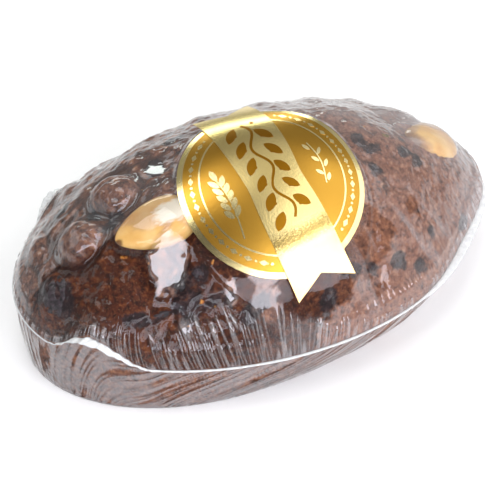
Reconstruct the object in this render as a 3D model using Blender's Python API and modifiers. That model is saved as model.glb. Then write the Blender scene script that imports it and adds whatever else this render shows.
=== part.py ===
"""Fruit bread: an oval domed loaf sealed in clear shrink film, with two blanched almonds and a die-cut seal.

Metres, +Z up. The long side lies along X, the front seam faces -Y, and the loaf stands on its flat underside.
The origin is the middle of the footprint, on the surface that the loaf rests on.
Angles round the loaf are in degrees, counted from +X towards +Y.
"""

import math

import bmesh
import bpy
import numpy as np
from mathutils import Matrix, Vector, noise

# ---- the loaf
HALF_LENGTH = 0.0750
HALF_WIDTH = 0.0451
CROWN_HEIGHT = 0.0610
CROWN_LEAN = -0.0027  # the crown's fall from the middle to the right end
CROWN_FALL_BACK = 0.0060  # how much lower the crown's curve runs at the back edge
CROWN_POWER = 1.75  # how early the crown starts to fall away
CROWN_FULLNESS = 1.43  # 2 is an ellipse, less is a more pointed crown
PLAN_LOBES = ((2, -0.008, 0.028), (3, 0.004, 0.014), (4, 0.000, 0.008))  # waves: count, cosine, sine share
PLAN_FLAT = 0.045  # how far the right front is flattened where the flange is widest
PLAN_FLAT_SPAN = (-34.0, 34.0)  # a span is its centre and its reach to either side

# ---- the underside: how far the film pulls in below the seam
FOOT_INSET = 0.0024
FOOT_INSET_FRONT = 0.0076
FOOT_FRONT_SPAN = (-60.0, 84.0)
FOOT_ROUNDING = 1.5  # 1 is a quarter ellipse, 2 a straight slope

# ---- the welded seam, a thin flange of film, lower at the front and right; the back is a plain fold
SEAM_HEIGHT = 0.0191
SEAM_FALL_RIGHT = 0.0019
SEAM_FALL_FRONT = 0.0028
FIN_THICKNESS = 0.0008
FIN_TIP = 0.3  # share of the thickness that the rounded edge keeps to either side
FIN_FOLD = 0.0004
FIN_FRONT = 0.0006
FIN_FRONT_SPAN = (-95.0, 80.0)
FIN_RIGHT = 0.0026
FIN_RIGHT_SPAN = (-33.0, 32.0)
FIN_RIGHT_EVENNESS = 0.6  # under 1 keeps the wide stretch wide up to near its ends

# ---- the ears at the bag's two left corners
EAR_WIDTH = 0.0024
EAR_RISE_REACH = 16.0
EAR_FRONT = -144.0
EAR_FRONT_REACH = 14.0
EAR_FRONT_RISE = 0.0085
EAR_BACK = 132.0
EAR_BACK_REACH = 12.0
EAR_BACK_RISE = 0.0050

# ---- the seal: a disc with a swallow-tailed band across it
SEAL_MIDDLE = (-0.0023, -0.0170)
SEAL_RADIUS = 0.0270
SEAL_THICKNESS = 0.0004
SEAL_GAP = 0.0004
SEAL_HOLD_RADIUS = 0.0240  # the disc holds the film smooth out to here
SEAL_HOLD_FADE = 0.0070
BAND_WIDTH = 0.0164
BAND_HALF_LENGTH = 0.0325
BAND_NOTCH = 0.0045
BAND_HEADING = math.radians(-81.0)
BAND_BEND = math.radians(-4.0)  # the back tail lies a little askew of the front one
TAIL_LIFT = 0.0011  # the front tail's tips stand off the film, the back tail lies close
TAIL_LIFT_START = 0.85 * SEAL_RADIUS

# ---- almonds: name, place on the crown, length, heading in plan, pitch of the blunt end, depth
ALMOND_WIDTH = 0.0142
ALMOND_THICKNESS = 0.0074
ALMOND_TAPER = 0.22
ALMOND_ROUNDNESS = 0.10
ALMOND_GAP = 0.0003
ALMONDS = (
    ("almond_left", (-0.0364, -0.0143), 0.0250, math.radians(2.0), math.radians(12.0), 0.0018),
    ("almond_right", (0.0582, 0.0012), 0.0264, math.radians(9.0), math.radians(0.0), 0.0022),
)

# ---- swells of the dough that lift film and seal alike: place, radius, height
SWELLS = (
    ((-0.0285, -0.0150), 0.0110, 0.0008),  # over the left almond's blunt end
    ((0.0350, -0.0205), 0.0190, 0.0010),  # the smooth shoulder right of the seal
)

# ---- lumps and hollows that show through the film: place, radius, height
LUMPS = (
    ((-0.0428, 0.0055), 0.0065, 0.0030),  # a nut under the dough, behind the left almond
    ((-0.0547, -0.0010), 0.0068, 0.0032),  # a nut under the dough, left of it
    ((-0.0484, 0.0020), 0.0042, -0.0022),  # the hollow between them
    ((-0.0663, -0.0099), 0.0060, 0.0014),  # a prune in the left end
    ((-0.0534, -0.0282), 0.0070, 0.0010),  # a lump over the front seam
    ((-0.0380, -0.0255), 0.0065, -0.0010),  # the hollow under the left almond
    ((0.0112, -0.0349), 0.0055, 0.0011),  # the ridge below the seal's tail
    ((0.0196, -0.0373), 0.0045, -0.0012),  # dark pits right of the tail
    ((0.0316, -0.0357), 0.0055, -0.0014),
    ((0.0260, -0.0330), 0.0050, 0.0010),
    ((0.0444, 0.0035), 0.0070, -0.0008),  # the dip beside the right almond
)
HIDDEN_LUMP_COUNT = 16
HIDDEN_LUMP_SEED = 11
HIDDEN_LUMP_ANGLES = (-25.0, 165.0)
HIDDEN_LUMP_SHARES = (0.45, 0.88)  # of the way from the middle to the edge
HIDDEN_LUMP_FRONT = 0.002  # none lies nearer the front than this
HIDDEN_LUMP_SPACING = 1.1  # times the sum of two lumps' radii
NUT_RADIUS = (0.0050, 0.0085)
NUT_HEIGHT = (0.0004, 0.0013)

# ---- the film between the lumps
FILM_SLACK = 0.0007  # how far it lies below the smooth crown
DOUGH_WAVE = 0.0005  # height of the fine unevenness of the dough
DOUGH_WAVE_LENGTH = 0.0110
DOUGH_WAVE_SLICE = 0.37
RELIEF_END = 0.98  # the share of the plan where the relief has faded out

# ---- mesh fineness
AROUND = 100
CROWN_RINGS = 25
FIN_RINGS = 3
FOOT_RINGS = 5
FLOOR_RINGS = 2
ALMOND_AROUND = 20
ALMOND_RINGS = 14
SEAL_RINGS = 9
DISC_STEPS = 19
WELD_DISTANCE = 0.00001
SLOPE_STEP = 0.0002


def window(angle, centre, reach):
    """1 at the centre, falling smoothly to 0 at the reach; the angle is in radians, the span in degrees."""
    apart = math.remainder(angle - math.radians(centre), math.tau) / math.radians(reach)
    return math.cos(0.5 * math.pi * min(1.0, abs(apart))) ** 2


def mound(x, y, place, radius):
    """1 over the place, falling off as a bell of that radius."""
    return math.exp(-((x - place[0]) ** 2 + (y - place[1]) ** 2) / radius**2)


def plan_swell(angle):
    """How far the loaf's hand-shaped oval stands out of the true ellipse."""
    lobes = sum(c * math.cos(n * angle) + s * math.sin(n * angle) for n, c, s in PLAN_LOBES)
    return 1.0 + lobes - PLAN_FLAT * window(angle, *PLAN_FLAT_SPAN)


def plan_point(angle, share):
    """A point at this share of the way from the middle to the edge of the plan."""
    reach = share * plan_swell(angle)
    return reach * HALF_LENGTH * math.cos(angle), reach * HALF_WIDTH * math.sin(angle)


def plan_share(x, y):
    """How far out a point lies, 0 in the middle and 1 on the edge of the plan."""
    angle = math.atan2(y / HALF_WIDTH, x / HALF_LENGTH)
    return math.hypot(x / HALF_LENGTH, y / HALF_WIDTH) / plan_swell(angle)


def seam_plane(x, y):
    """Height of the seam's gently tilted plane, without its ears."""
    return SEAM_HEIGHT - SEAM_FALL_RIGHT * x / HALF_LENGTH + SEAM_FALL_FRONT * y / HALF_WIDTH


def dome(x, y):
    """Height of the smooth crown with its swells, which the seal follows too."""
    share = min(plan_share(x, y), 0.9999)
    rise = (1.0 - share**CROWN_POWER) ** (1.0 / CROWN_FULLNESS)
    back = max(0.0, y) / HALF_WIDTH
    crown = CROWN_HEIGHT + CROWN_LEAN * x / HALF_LENGTH - CROWN_FALL_BACK * back**2
    swell = sum(height * mound(x, y, place, radius) for place, radius, height in SWELLS)
    return seam_plane(x, y) * (1.0 - rise) + crown * rise + swell * (1.0 - share**4)


def dome_normal(x, y):
    step = SLOPE_STEP
    slope_x = (dome(x + step, y) - dome(x - step, y)) / (2.0 * step)
    slope_y = (dome(x, y + step) - dome(x, y - step)) / (2.0 * step)
    return Vector((-slope_x, -slope_y, 1.0)).normalized()


def on_dome(x, y):
    return Vector((x, y, dome(x, y)))


def walk(start, heading, distance, steps=14):
    """Goes straight ahead over the crown, as a strip of foil lies. Gives the point there and its normal."""
    point = on_dome(*start)
    normal = dome_normal(point.x, point.y)
    ahead = Vector((math.cos(heading), math.sin(heading), 0.0))
    ahead = (ahead - normal * ahead.dot(normal)).normalized()
    for _ in range(steps):
        point = point + ahead * (distance / steps)
        point.z = dome(point.x, point.y)
        normal = dome_normal(point.x, point.y)
        ahead = (ahead - normal * ahead.dot(normal)).normalized()
    return point, normal


def hidden_lumps():
    """Lumps like the visible ones over the back and the right end, which the seam and the seal leave free."""
    draw = np.random.default_rng(HIDDEN_LUMP_SEED)
    found = []
    while len(found) < HIDDEN_LUMP_COUNT:
        angle = math.radians(draw.uniform(*HIDDEN_LUMP_ANGLES))
        place = plan_point(angle, draw.uniform(*HIDDEN_LUMP_SHARES))
        radius = draw.uniform(*NUT_RADIUS)
        height = draw.uniform(*NUT_HEIGHT)
        clear = all(math.dist(place, at) > HIDDEN_LUMP_SPACING * (radius + other) for at, other, _ in found)
        if place[1] > HIDDEN_LUMP_FRONT and clear:
            found.append((place, radius, height))
    return tuple(found)


ALL_LUMPS = LUMPS + hidden_lumps()


def seal_edge(angle):
    """Distance from the seal's middle to its cut edge, with the angle counted from the band's direction."""
    across = abs(math.sin(angle))
    along = abs(math.cos(angle))
    half = 0.5 * BAND_WIDTH
    if half * along < across * BAND_HALF_LENGTH:
        return max(SEAL_RADIUS, half / across)
    # within the tail: the notch's edge runs from a tip to the notch's point on the band's middle line
    return (BAND_HALF_LENGTH - BAND_NOTCH) / (along - across * BAND_NOTCH / half)


def under_seal(x, y):
    """1 where the seal holds the film smooth, 0 well outside it."""
    outside = (math.dist((x, y), SEAL_MIDDLE) - SEAL_HOLD_RADIUS) / SEAL_HOLD_FADE
    return 1.0 - min(1.0, max(0.0, outside))


def relief(x, y):
    """Height of lumps and fine unevenness over the smooth crown, none under the seal and at the seam."""
    share = min(1.0, plan_share(x, y))
    lumps = sum(height * mound(x, y, place, radius) for place, radius, height in ALL_LUMPS)
    at = Vector((x / DOUGH_WAVE_LENGTH, y / DOUGH_WAVE_LENGTH, DOUGH_WAVE_SLICE))
    wave = DOUGH_WAVE * noise.fractal(at, 0.7, 2.0, 3)
    return (lumps + wave - FILM_SLACK) * (1.0 - under_seal(x, y)) * (1.0 - share**6)


def fin_width(angle):
    """How far the seam's flange stands out of the loaf."""
    ears = window(angle, EAR_FRONT, EAR_FRONT_REACH) + window(angle, EAR_BACK, EAR_BACK_REACH)
    front = FIN_FRONT * window(angle, *FIN_FRONT_SPAN)
    right = FIN_RIGHT * window(angle, *FIN_RIGHT_SPAN) ** FIN_RIGHT_EVENNESS
    return FIN_FOLD + front + right + EAR_WIDTH * ears


def ear_rise(angle):
    """How far the seam climbs towards the ears."""
    front = EAR_FRONT_RISE * window(angle, EAR_FRONT, EAR_RISE_REACH)
    return front + EAR_BACK_RISE * window(angle, EAR_BACK, EAR_RISE_REACH)


def foot_inset(angle):
    return FOOT_INSET + FOOT_INSET_FRONT * window(angle, *FOOT_FRONT_SPAN)


def edge_point(angle, outwards):
    """A point this far outside the seam's plan curve, or inside it where negative."""
    x, y = plan_point(angle, 1.0)
    reach = math.hypot(x, y)
    return x * (reach + outwards) / reach, y * (reach + outwards) / reach


def crown_vertex(share, angle):
    """A point of the crown, from its top at share 0 to the seam at share 1."""
    x, y = plan_point(angle, share)
    lift = ear_rise(angle) * share**12 + 0.5 * FIN_THICKNESS * share**8
    point = on_dome(x, y) + Vector((0.0, 0.0, lift))
    if 0.0 < share < RELIEF_END:
        point += dome_normal(x, y) * relief(x, y)
    return point


def foot_vertex(share, angle, seam):
    """A point of the rounded side below the seam, from the flange at share 0 to the foot's edge at 1."""
    turn = 0.5 * math.pi * share
    x, y = edge_point(angle, -foot_inset(angle) * (1.0 - math.cos(turn) ** FOOT_ROUNDING))
    under = seam - 0.5 * FIN_THICKNESS
    return Vector((x, y, under * (1.0 - math.sin(turn) ** FOOT_ROUNDING)))


def loaf_vertex(ring, angle):
    """The wrapped loaf's point on ring 0 (the crown's top) to the last (the middle of the underside)."""
    seam = seam_plane(*plan_point(angle, 1.0)) + ear_rise(angle)
    if ring <= CROWN_RINGS:
        return crown_vertex(math.sin(0.5 * math.pi * ring / CROWN_RINGS), angle)
    ring -= CROWN_RINGS
    if ring < FIN_RINGS:
        side = FIN_TIP if ring == 1 else -FIN_TIP
        return Vector((*edge_point(angle, fin_width(angle)), seam + FIN_THICKNESS * side))
    ring -= FIN_RINGS
    if ring <= FOOT_RINGS:
        return foot_vertex(ring / FOOT_RINGS, angle, seam)
    x, y = edge_point(angle, -foot_inset(angle))
    inwards = 1.0 - (ring - FOOT_RINGS) / FLOOR_RINGS
    return Vector((x * inwards, y * inwards, 0.0))


def collection(name):
    made = bpy.data.collections.new(name)
    bpy.context.scene.collection.children.link(made)
    return made


def material(name, colour, roughness, metallic=0.0):
    made = bpy.data.materials.new(name)
    made.use_nodes = True
    shader = made.node_tree.nodes["Principled BSDF"]
    shader.inputs["Base Color"].default_value = (*colour, 1.0)
    shader.inputs["Roughness"].default_value = roughness
    shader.inputs["Metallic"].default_value = metallic
    made.diffuse_color = (*colour, 1.0)
    return made


def new_object(name, shape, where, finish=None):
    mesh = bpy.data.meshes.new(name)
    shape.normal_update()
    bmesh.ops.recalc_face_normals(shape, faces=shape.faces)
    shape.to_mesh(mesh)
    shape.free()
    mesh.shade_smooth()
    made = bpy.data.objects.new(name, mesh)
    where.objects.link(made)
    if finish:
        mesh.materials.append(finish)
    return made


def build_loaf(where):
    """A sphere whose rings become the crown, the seam's flange, the foot and the flat underside."""
    rings = CROWN_RINGS + FIN_RINGS + FOOT_RINGS + FLOOR_RINGS
    shape = bmesh.new()
    bmesh.ops.create_uvsphere(shape, u_segments=AROUND, v_segments=rings, radius=1.0)
    for vertex in shape.verts:
        fall = math.acos(max(-1.0, min(1.0, vertex.co.z)))
        vertex.co = loaf_vertex(round(fall / math.pi * rings), math.atan2(vertex.co.y, vertex.co.x))
    finish = material("fruit_dough_under_film", (0.19, 0.09, 0.055), 0.25)
    return new_object("film_wrapped_bread", shape, where, finish)


def build_almond(name, place, length, heading, pitch, depth, where, grown=0.0, finish=None):
    """A flat pebble with one pointed end, laid along the crown and sunk into the dough."""
    half = (0.5 * length + grown, 0.5 * ALMOND_WIDTH + grown, 0.5 * ALMOND_THICKNESS + grown)
    shape = bmesh.new()
    bmesh.ops.create_uvsphere(shape, u_segments=ALMOND_AROUND, v_segments=ALMOND_RINGS, radius=1.0)
    for vertex in shape.verts:
        # the sphere's poles become the almond's ends
        along, side, up = vertex.co.z, vertex.co.x, vertex.co.y
        girth = 1.0 + ALMOND_TAPER * along - ALMOND_ROUNDNESS * along**2
        vertex.co = Vector((along * half[0], side * girth * half[1], up * girth * half[2]))
    up = dome_normal(*place)
    ahead = Vector((math.cos(heading), math.sin(heading), 0.0))
    ahead = (ahead - up * ahead.dot(up)).normalized()
    lie = Matrix((ahead, up.cross(ahead), up)).transposed() @ Matrix.Rotation(pitch, 3, "Y")
    shape.transform(Matrix.Translation(on_dome(*place) - up * depth) @ lie.to_4x4())
    return new_object(name, shape, where, finish)


def seal_directions():
    """Angles round the seal: even on the disc, with the corners of both tails among them."""
    corner = math.atan2(0.5 * BAND_WIDTH, BAND_HALF_LENGTH)
    root = math.asin(0.5 * BAND_WIDTH / SEAL_RADIUS)
    tail = [0.5 * corner, corner, 0.5 * (corner + root)]
    disc = list(np.linspace(root, math.pi - root, DISC_STEPS))
    half = [0.0] + tail + disc + [math.pi - angle for angle in reversed(tail)]
    return half + [angle + math.pi for angle in half]


def seal_vertex(turn, share):
    """A point at this share of the way from the seal's middle to its edge."""
    distance = seal_edge(turn) * share
    heading = BAND_HEADING + turn + BAND_BEND * 0.5 * (1.0 - math.cos(turn))
    point, normal = walk(SEAL_MIDDLE, heading, distance)
    past = max(0.0, distance - TAIL_LIFT_START) / (BAND_HALF_LENGTH - TAIL_LIFT_START)
    in_band = abs(distance * math.sin(turn)) < 0.5 * BAND_WIDTH + SLOPE_STEP
    lift = TAIL_LIFT * past**2 if in_band and math.cos(turn) > 0.0 else 0.0
    return point + normal * (SEAL_GAP + lift)


def build_seal(where):
    """A disc of foil with a swallow-tailed band, cut in one piece and laid over the crown."""
    directions = seal_directions()
    count = len(directions)
    shape = bmesh.new()
    bmesh.ops.create_grid(shape, x_segments=count, y_segments=SEAL_RINGS, size=1.0)
    for vertex in shape.verts:
        column = round(0.5 * (vertex.co.x + 1.0) * count) % count
        ring = round(0.5 * (vertex.co.y + 1.0) * SEAL_RINGS)
        vertex.co = seal_vertex(directions[column], ring / SEAL_RINGS)
    bmesh.ops.remove_doubles(shape, verts=shape.verts, dist=WELD_DISTANCE)
    finish = material("gold_foil_paper", (0.62, 0.42, 0.12), 0.28, 0.9)
    seal = new_object("gold_seal", shape, where, finish)
    wall = seal.modifiers.new("foil thickness", "SOLIDIFY")
    wall.thickness = SEAL_THICKNESS
    wall.offset = 1.0
    return seal


for old in list(bpy.data.objects):
    bpy.data.objects.remove(old)

bread = collection("fruit_bread")
cutters = collection("cutters")

loaf = build_loaf(bread)
blanched = material("blanched_almond", (0.70, 0.45, 0.20), 0.45)
for almond_name, *lie in ALMONDS:
    build_almond(almond_name, *lie, bread, finish=blanched)
    pocket = build_almond(f"{almond_name}_pocket", *lie, cutters, grown=ALMOND_GAP)
    pocket.hide_render = True
    pocket.display_type = "WIRE"
    cut = loaf.modifiers.new(f"{almond_name} pocket", "BOOLEAN")
    cut.operation = "DIFFERENCE"
    cut.object = pocket
build_seal(bread)

# the origin goes to the middle of the footprint
corners = np.array([vertex.co[:] for vertex in loaf.data.vertices])
middle = 0.5 * (corners.min(axis=0) + corners.max(axis=0))
stand = bpy.data.objects.new("stand", None)
stand.location = (-middle[0], -middle[1], 0.0)
bread.objects.link(stand)
for part in list(bread.objects) + list(cutters.objects):
    if part is not stand:
        part.parent = stand
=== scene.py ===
"""The looks of a fruit bread: a dark loaf with almonds, sealed in clear shrink film with a gold seal.

Metres, +Z up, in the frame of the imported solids. The front seam faces -Y and the bread lies along X.
"""

import math

import bpy
import numpy as np
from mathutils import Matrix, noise


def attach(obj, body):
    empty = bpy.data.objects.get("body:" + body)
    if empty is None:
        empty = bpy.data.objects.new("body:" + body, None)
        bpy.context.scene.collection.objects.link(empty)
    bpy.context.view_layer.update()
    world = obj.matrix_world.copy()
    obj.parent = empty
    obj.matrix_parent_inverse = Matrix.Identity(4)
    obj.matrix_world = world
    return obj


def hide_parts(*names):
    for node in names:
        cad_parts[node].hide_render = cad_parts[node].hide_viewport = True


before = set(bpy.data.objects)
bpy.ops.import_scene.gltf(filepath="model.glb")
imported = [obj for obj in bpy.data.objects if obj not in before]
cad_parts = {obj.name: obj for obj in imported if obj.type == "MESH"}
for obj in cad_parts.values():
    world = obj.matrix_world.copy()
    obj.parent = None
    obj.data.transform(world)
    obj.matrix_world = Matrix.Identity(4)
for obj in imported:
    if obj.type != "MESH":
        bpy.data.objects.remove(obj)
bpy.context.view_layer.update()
bpy.ops.object.select_all(action="DESELECT")

# ---- The bread. A dense loaf of dried fruit and nuts held together by a little dark dough, shaped by hand
# and baked flat side down. Its surface is clods, covered nuts, creases and pits, and the film shows them.
HALF_LENGTH = 0.0750
HALF_WIDTH = 0.0451
CROWN_HEIGHT = 0.0610
CROWN_LEAN = -0.0027
CROWN_FALL_BACK = 0.0060
CROWN_POWER = 1.75
CROWN_FULLNESS = 1.43
PLAN_LOBES = ((2, -0.008, 0.028), (3, 0.004, 0.014), (4, 0.000, 0.008))
PLAN_FLAT = 0.045
PLAN_FLAT_SPAN = (-34.0, 34.0)  # a span is its centre and its reach to either side, in degrees
PLAN_MIDDLE = (0.00056, -0.00093)  # where the frame's origin lies in the plan
SEAM_HEIGHT = 0.0191
SEAM_FALL_RIGHT = 0.0019
SEAM_FALL_FRONT = 0.0028
FOOT_INSET = 0.0024
FOOT_INSET_FRONT = 0.0076
FOOT_FRONT_SPAN = (-60.0, 84.0)
FOOT_ROUNDING = 1.5
EAR_RISE_REACH = 16.0
EAR_FRONT = -144.0
EAR_FRONT_RISE = 0.0085
EAR_BACK = 132.0
EAR_BACK_RISE = 0.0050
SWELLS = (  # broad swells of the crown: place, radius and height
    ((-0.0285, -0.0150), 0.0110, 0.0008),
    ((0.0350, -0.0205), 0.0190, 0.0010),
)
LUMPS = (  # lumps and dips of the dough: place, radius and height
    ((-0.0430, 0.0036), 0.0068, 0.0032),  # a nut under the dough, behind the left almond
    ((-0.0552, -0.0028), 0.0066, 0.0032),  # a nut under the dough, left of it
    ((-0.0490, 0.0008), 0.0040, -0.0020),  # the hollow between them
    ((-0.0663, -0.0099), 0.0060, 0.0014),  # a prune in the left end
    ((-0.0534, -0.0282), 0.0070, 0.0010),
    ((-0.0380, -0.0255), 0.0065, -0.0010),
    ((0.0112, -0.0349), 0.0055, 0.0011),
    ((0.0196, -0.0373), 0.0045, -0.0012),
    ((0.0316, -0.0357), 0.0055, -0.0014),
    ((0.0260, -0.0330), 0.0050, 0.0010),
    ((0.0444, 0.0035), 0.0070, -0.0008),
)
HIDDEN_LUMP_COUNT = 16
HIDDEN_LUMP_SEED = 11
HIDDEN_LUMP_ANGLES = (-25.0, 165.0)
HIDDEN_LUMP_SHARES = (0.45, 0.88)
HIDDEN_LUMP_FRONT = 0.002  # none lies in front of this
HIDDEN_LUMP_SPACING = 1.1
NUT_RADIUS = (0.0050, 0.0085)
NUT_HEIGHT = (0.0004, 0.0013)
FILM_SLACK = 0.0007  # how far the dough lies below the smooth loaf, along which the film runs
RAISIN_RISE = 0.00025
RAISINS = (  # place, length, width and heading of the dark fruit that shows at the surface
    ((0.0313, -0.0104), 0.0060, 0.0040, 20.0),
    ((0.0429, -0.0088), 0.0045, 0.0032, -10.0),
    ((0.0472, -0.0109), 0.0042, 0.0034, 60.0),
    ((0.0291, -0.0070), 0.0050, 0.0034, 100.0),
    ((0.0297, -0.0155), 0.0060, 0.0045, 140.0),
    ((0.0161, -0.0276), 0.0055, 0.0036, 30.0),
    ((0.0296, -0.0359), 0.0060, 0.0050, 10.0),
    ((0.0370, -0.0348), 0.0052, 0.0040, 80.0),
    ((0.0196, -0.0373), 0.0058, 0.0042, 150.0),
    ((0.0116, -0.0375), 0.0062, 0.0045, 15.0),
    ((0.0037, -0.0414), 0.0055, 0.0040, 60.0),
    ((-0.0345, -0.0295), 0.0085, 0.0060, 40.0),
    ((-0.0300, -0.0294), 0.0070, 0.0058, 100.0),
    ((-0.0279, -0.0346), 0.0085, 0.0052, 10.0),
    ((-0.0368, -0.0328), 0.0080, 0.0045, 160.0),
    ((-0.0330, -0.0328), 0.0075, 0.0050, 70.0),
    ((-0.0430, -0.0316), 0.0085, 0.0036, 5.0),
    ((-0.0481, -0.0298), 0.0080, 0.0034, -10.0),
    ((-0.0158, -0.0389), 0.0060, 0.0040, 20.0),
    ((-0.0199, -0.0401), 0.0055, 0.0042, 130.0),
    ((-0.0245, -0.0357), 0.0060, 0.0038, 45.0),
    ((-0.0543, 0.0148), 0.0070, 0.0050, 30.0),
    ((-0.0508, 0.0031), 0.0072, 0.0056, 80.0),
    ((-0.0462, -0.0046), 0.0070, 0.0050, 10.0),
    ((-0.0652, -0.0133), 0.0085, 0.0060, 50.0),
    ((-0.0674, -0.0080), 0.0070, 0.0055, 110.0),
    ((-0.0300, 0.0060), 0.0060, 0.0040, 75.0),
    ((-0.0210, 0.0130), 0.0065, 0.0045, 20.0),
    ((0.0580, -0.0200), 0.0050, 0.0036, 40.0),
    ((0.0440, -0.0270), 0.0042, 0.0030, 120.0),
)
HOLLOWS = (  # hollows in the dough that the film spans almost flat: place, radius and depth
    ((-0.0360, -0.0215), 0.0050, 0.0030),
    ((-0.0395, -0.0255), 0.0050, 0.0034),
    ((-0.0296, 0.0036), 0.0046, 0.0022),  # beside the seal's left rim
    ((0.0250, -0.0030), 0.0034, 0.0016),  # beside its right rim
    ((0.0120, -0.0330), 0.0035, 0.0012),
)
NUT_BULGE = 1.05
NUT_MOAT = 0.30  # depth of the dip round a covered nut, as a share of its height
NUT_MOAT_REACH = 1.20  # where it lies, as a share of the nut's radius
CLOD_SIZE = 0.0092
CLOD_HEIGHT = 0.0009
CRUMB_SIZE = 0.0016
CRUMB_HEIGHT = 0.00028
SWELL_SIZE = 0.0110
SWELL_HEIGHT = 0.0006
PIT_SIZE = 0.0048
PIT_DEPTH = 0.0013
DOUGH_SINK = 0.0002
UNDERSIDE_SINK = 0.0004
SLOPE_STEP = 0.0002


def srgb(code):
    """A colour written as sRGB hex, as the linear values that a shader takes."""
    parts = [int(code[i : i + 2], 16) / 255.0 for i in (1, 3, 5)]
    linear = [p / 12.92 if p <= 0.04045 else ((p + 0.055) / 1.055) ** 2.4 for p in parts]
    return (*linear, 1.0)


def add_node(tree, kind, inputs=None, stops=None, **settings):
    """Adds a node with its settings and links. A node given as a value stands for its first output."""
    made = tree.nodes.new("ShaderNode" + kind)
    for name, value in settings.items():
        setattr(made, name, value)
    for name, value in (inputs or {}).items():
        if isinstance(value, bpy.types.Node):
            value = value.outputs[0]
        if isinstance(value, bpy.types.NodeSocket):
            tree.links.new(value, made.inputs[name])
        else:
            made.inputs[name].default_value = value
    if stops:
        ramp = made.color_ramp
        while len(ramp.elements) < len(stops):
            ramp.elements.new(1.0)
        for element, (place, colour) in zip(ramp.elements, stops):
            element.position = place
            element.color = srgb(colour)
    return made


def new_material(name):
    """An empty node material and its tree."""
    made = bpy.data.materials.new(name)
    made.use_nodes = True
    made.node_tree.nodes.clear()
    return made, made.node_tree


def points_of(piece):
    flat = np.empty(len(piece.data.vertices) * 3)
    piece.data.vertices.foreach_get("co", flat)
    return flat.reshape(-1, 3)


def set_points(piece, points):
    piece.data.vertices.foreach_set("co", np.ascontiguousarray(points, dtype=np.float64).ravel())
    piece.data.update()


def normals_of(piece):
    flat = np.empty(len(piece.data.vertices) * 3, dtype=np.float32)
    piece.data.vertex_normals.foreach_get("vector", flat)
    return flat.reshape(-1, 3).astype(float)


def write_attribute(piece, name, values):
    made = piece.data.attributes.new(name, "FLOAT", "POINT")
    made.data.foreach_set("value", np.asarray(values, dtype=np.float32))


def smoothstep(value, low, high):
    share = np.clip((value - low) / (high - low), 0.0, 1.0)
    return share * share * (3.0 - 2.0 * share)


def window(angle, centre, reach):
    """1 at the centre, falling smoothly to 0 at the reach; the angles are in radians, the span in degrees."""
    apart = (angle - math.radians(centre) + math.pi) % math.tau - math.pi
    return np.cos(0.5 * math.pi * np.minimum(1.0, np.abs(apart) / math.radians(reach))) ** 2


def mound(x, y, place, radius):
    return np.exp(-((x - place[0]) ** 2 + (y - place[1]) ** 2) / radius**2)


def noise_at(points, size, seed, octaves=1):
    """Smooth noise with bumps of this size, about -1 to 1, read at each point."""
    return np.array([noise.fractal(p, 0.8, 2.1, octaves) for p in (points / size + seed).tolist()])


def clods_at(points, size, seed):
    """Rounded uneven lumps of this size that meet in creases: 1 on a lump's top, 0 in a crease."""
    stir = np.stack([noise_at(points, 1.6 * size, seed + turn, 2) for turn in (3.0, 11.0, 23.0)], axis=-1)
    found = [noise.voronoi(p)[0] for p in (points / size + 0.55 * stir + seed).tolist()]
    return np.array([min(1.0, 1.3 * (d[1] - d[0])) for d in found])


def plan_swell(angle):
    lobes = sum(c * np.cos(n * angle) + s * np.sin(n * angle) for n, c, s in PLAN_LOBES)
    return 1.0 + lobes - PLAN_FLAT * window(angle, *PLAN_FLAT_SPAN)


def plan_point(angle, share):
    reach = share * plan_swell(angle)
    return reach * HALF_LENGTH * np.cos(angle), reach * HALF_WIDTH * np.sin(angle)


def plan_share(x, y):
    angle = np.arctan2(y / HALF_WIDTH, x / HALF_LENGTH)
    return np.hypot(x / HALF_LENGTH, y / HALF_WIDTH) / plan_swell(angle)


def seam_plane(x, y):
    return SEAM_HEIGHT - SEAM_FALL_RIGHT * x / HALF_LENGTH + SEAM_FALL_FRONT * y / HALF_WIDTH


def crown(x, y):
    """Height of the smooth crown, which the seal follows."""
    share = np.minimum(plan_share(x, y), 0.9999)
    rise = (1.0 - share**CROWN_POWER) ** (1.0 / CROWN_FULLNESS)
    back = np.maximum(0.0, y) / HALF_WIDTH
    top = CROWN_HEIGHT + CROWN_LEAN * x / HALF_LENGTH - CROWN_FALL_BACK * back**2
    swell = sum(height * mound(x, y, place, radius) for place, radius, height in SWELLS)
    return seam_plane(x, y) * (1.0 - rise) + top * rise + swell * (1.0 - share**4)


def crown_normal(x, y):
    slope_x = (crown(x + SLOPE_STEP, y) - crown(x - SLOPE_STEP, y)) / (2.0 * SLOPE_STEP)
    slope_y = (crown(x, y + SLOPE_STEP) - crown(x, y - SLOPE_STEP)) / (2.0 * SLOPE_STEP)
    upright = np.stack([-slope_x, -slope_y, np.ones_like(slope_x)], axis=-1)
    return upright / np.linalg.norm(upright, axis=-1, keepdims=True)


def on_crown(x, y):
    return np.stack([x, y, crown(x, y)], axis=-1)


def ear_rise(angle):
    front = EAR_FRONT_RISE * window(angle, EAR_FRONT, EAR_RISE_REACH)
    return front + EAR_BACK_RISE * window(angle, EAR_BACK, EAR_RISE_REACH)


def edge_point(angle, outwards):
    """Points this far outside the seam's plan curve, or inside it where negative."""
    x, y = plan_point(angle, 1.0)
    reach = np.hypot(x, y)
    return x * (reach + outwards) / reach, y * (reach + outwards) / reach


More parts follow.
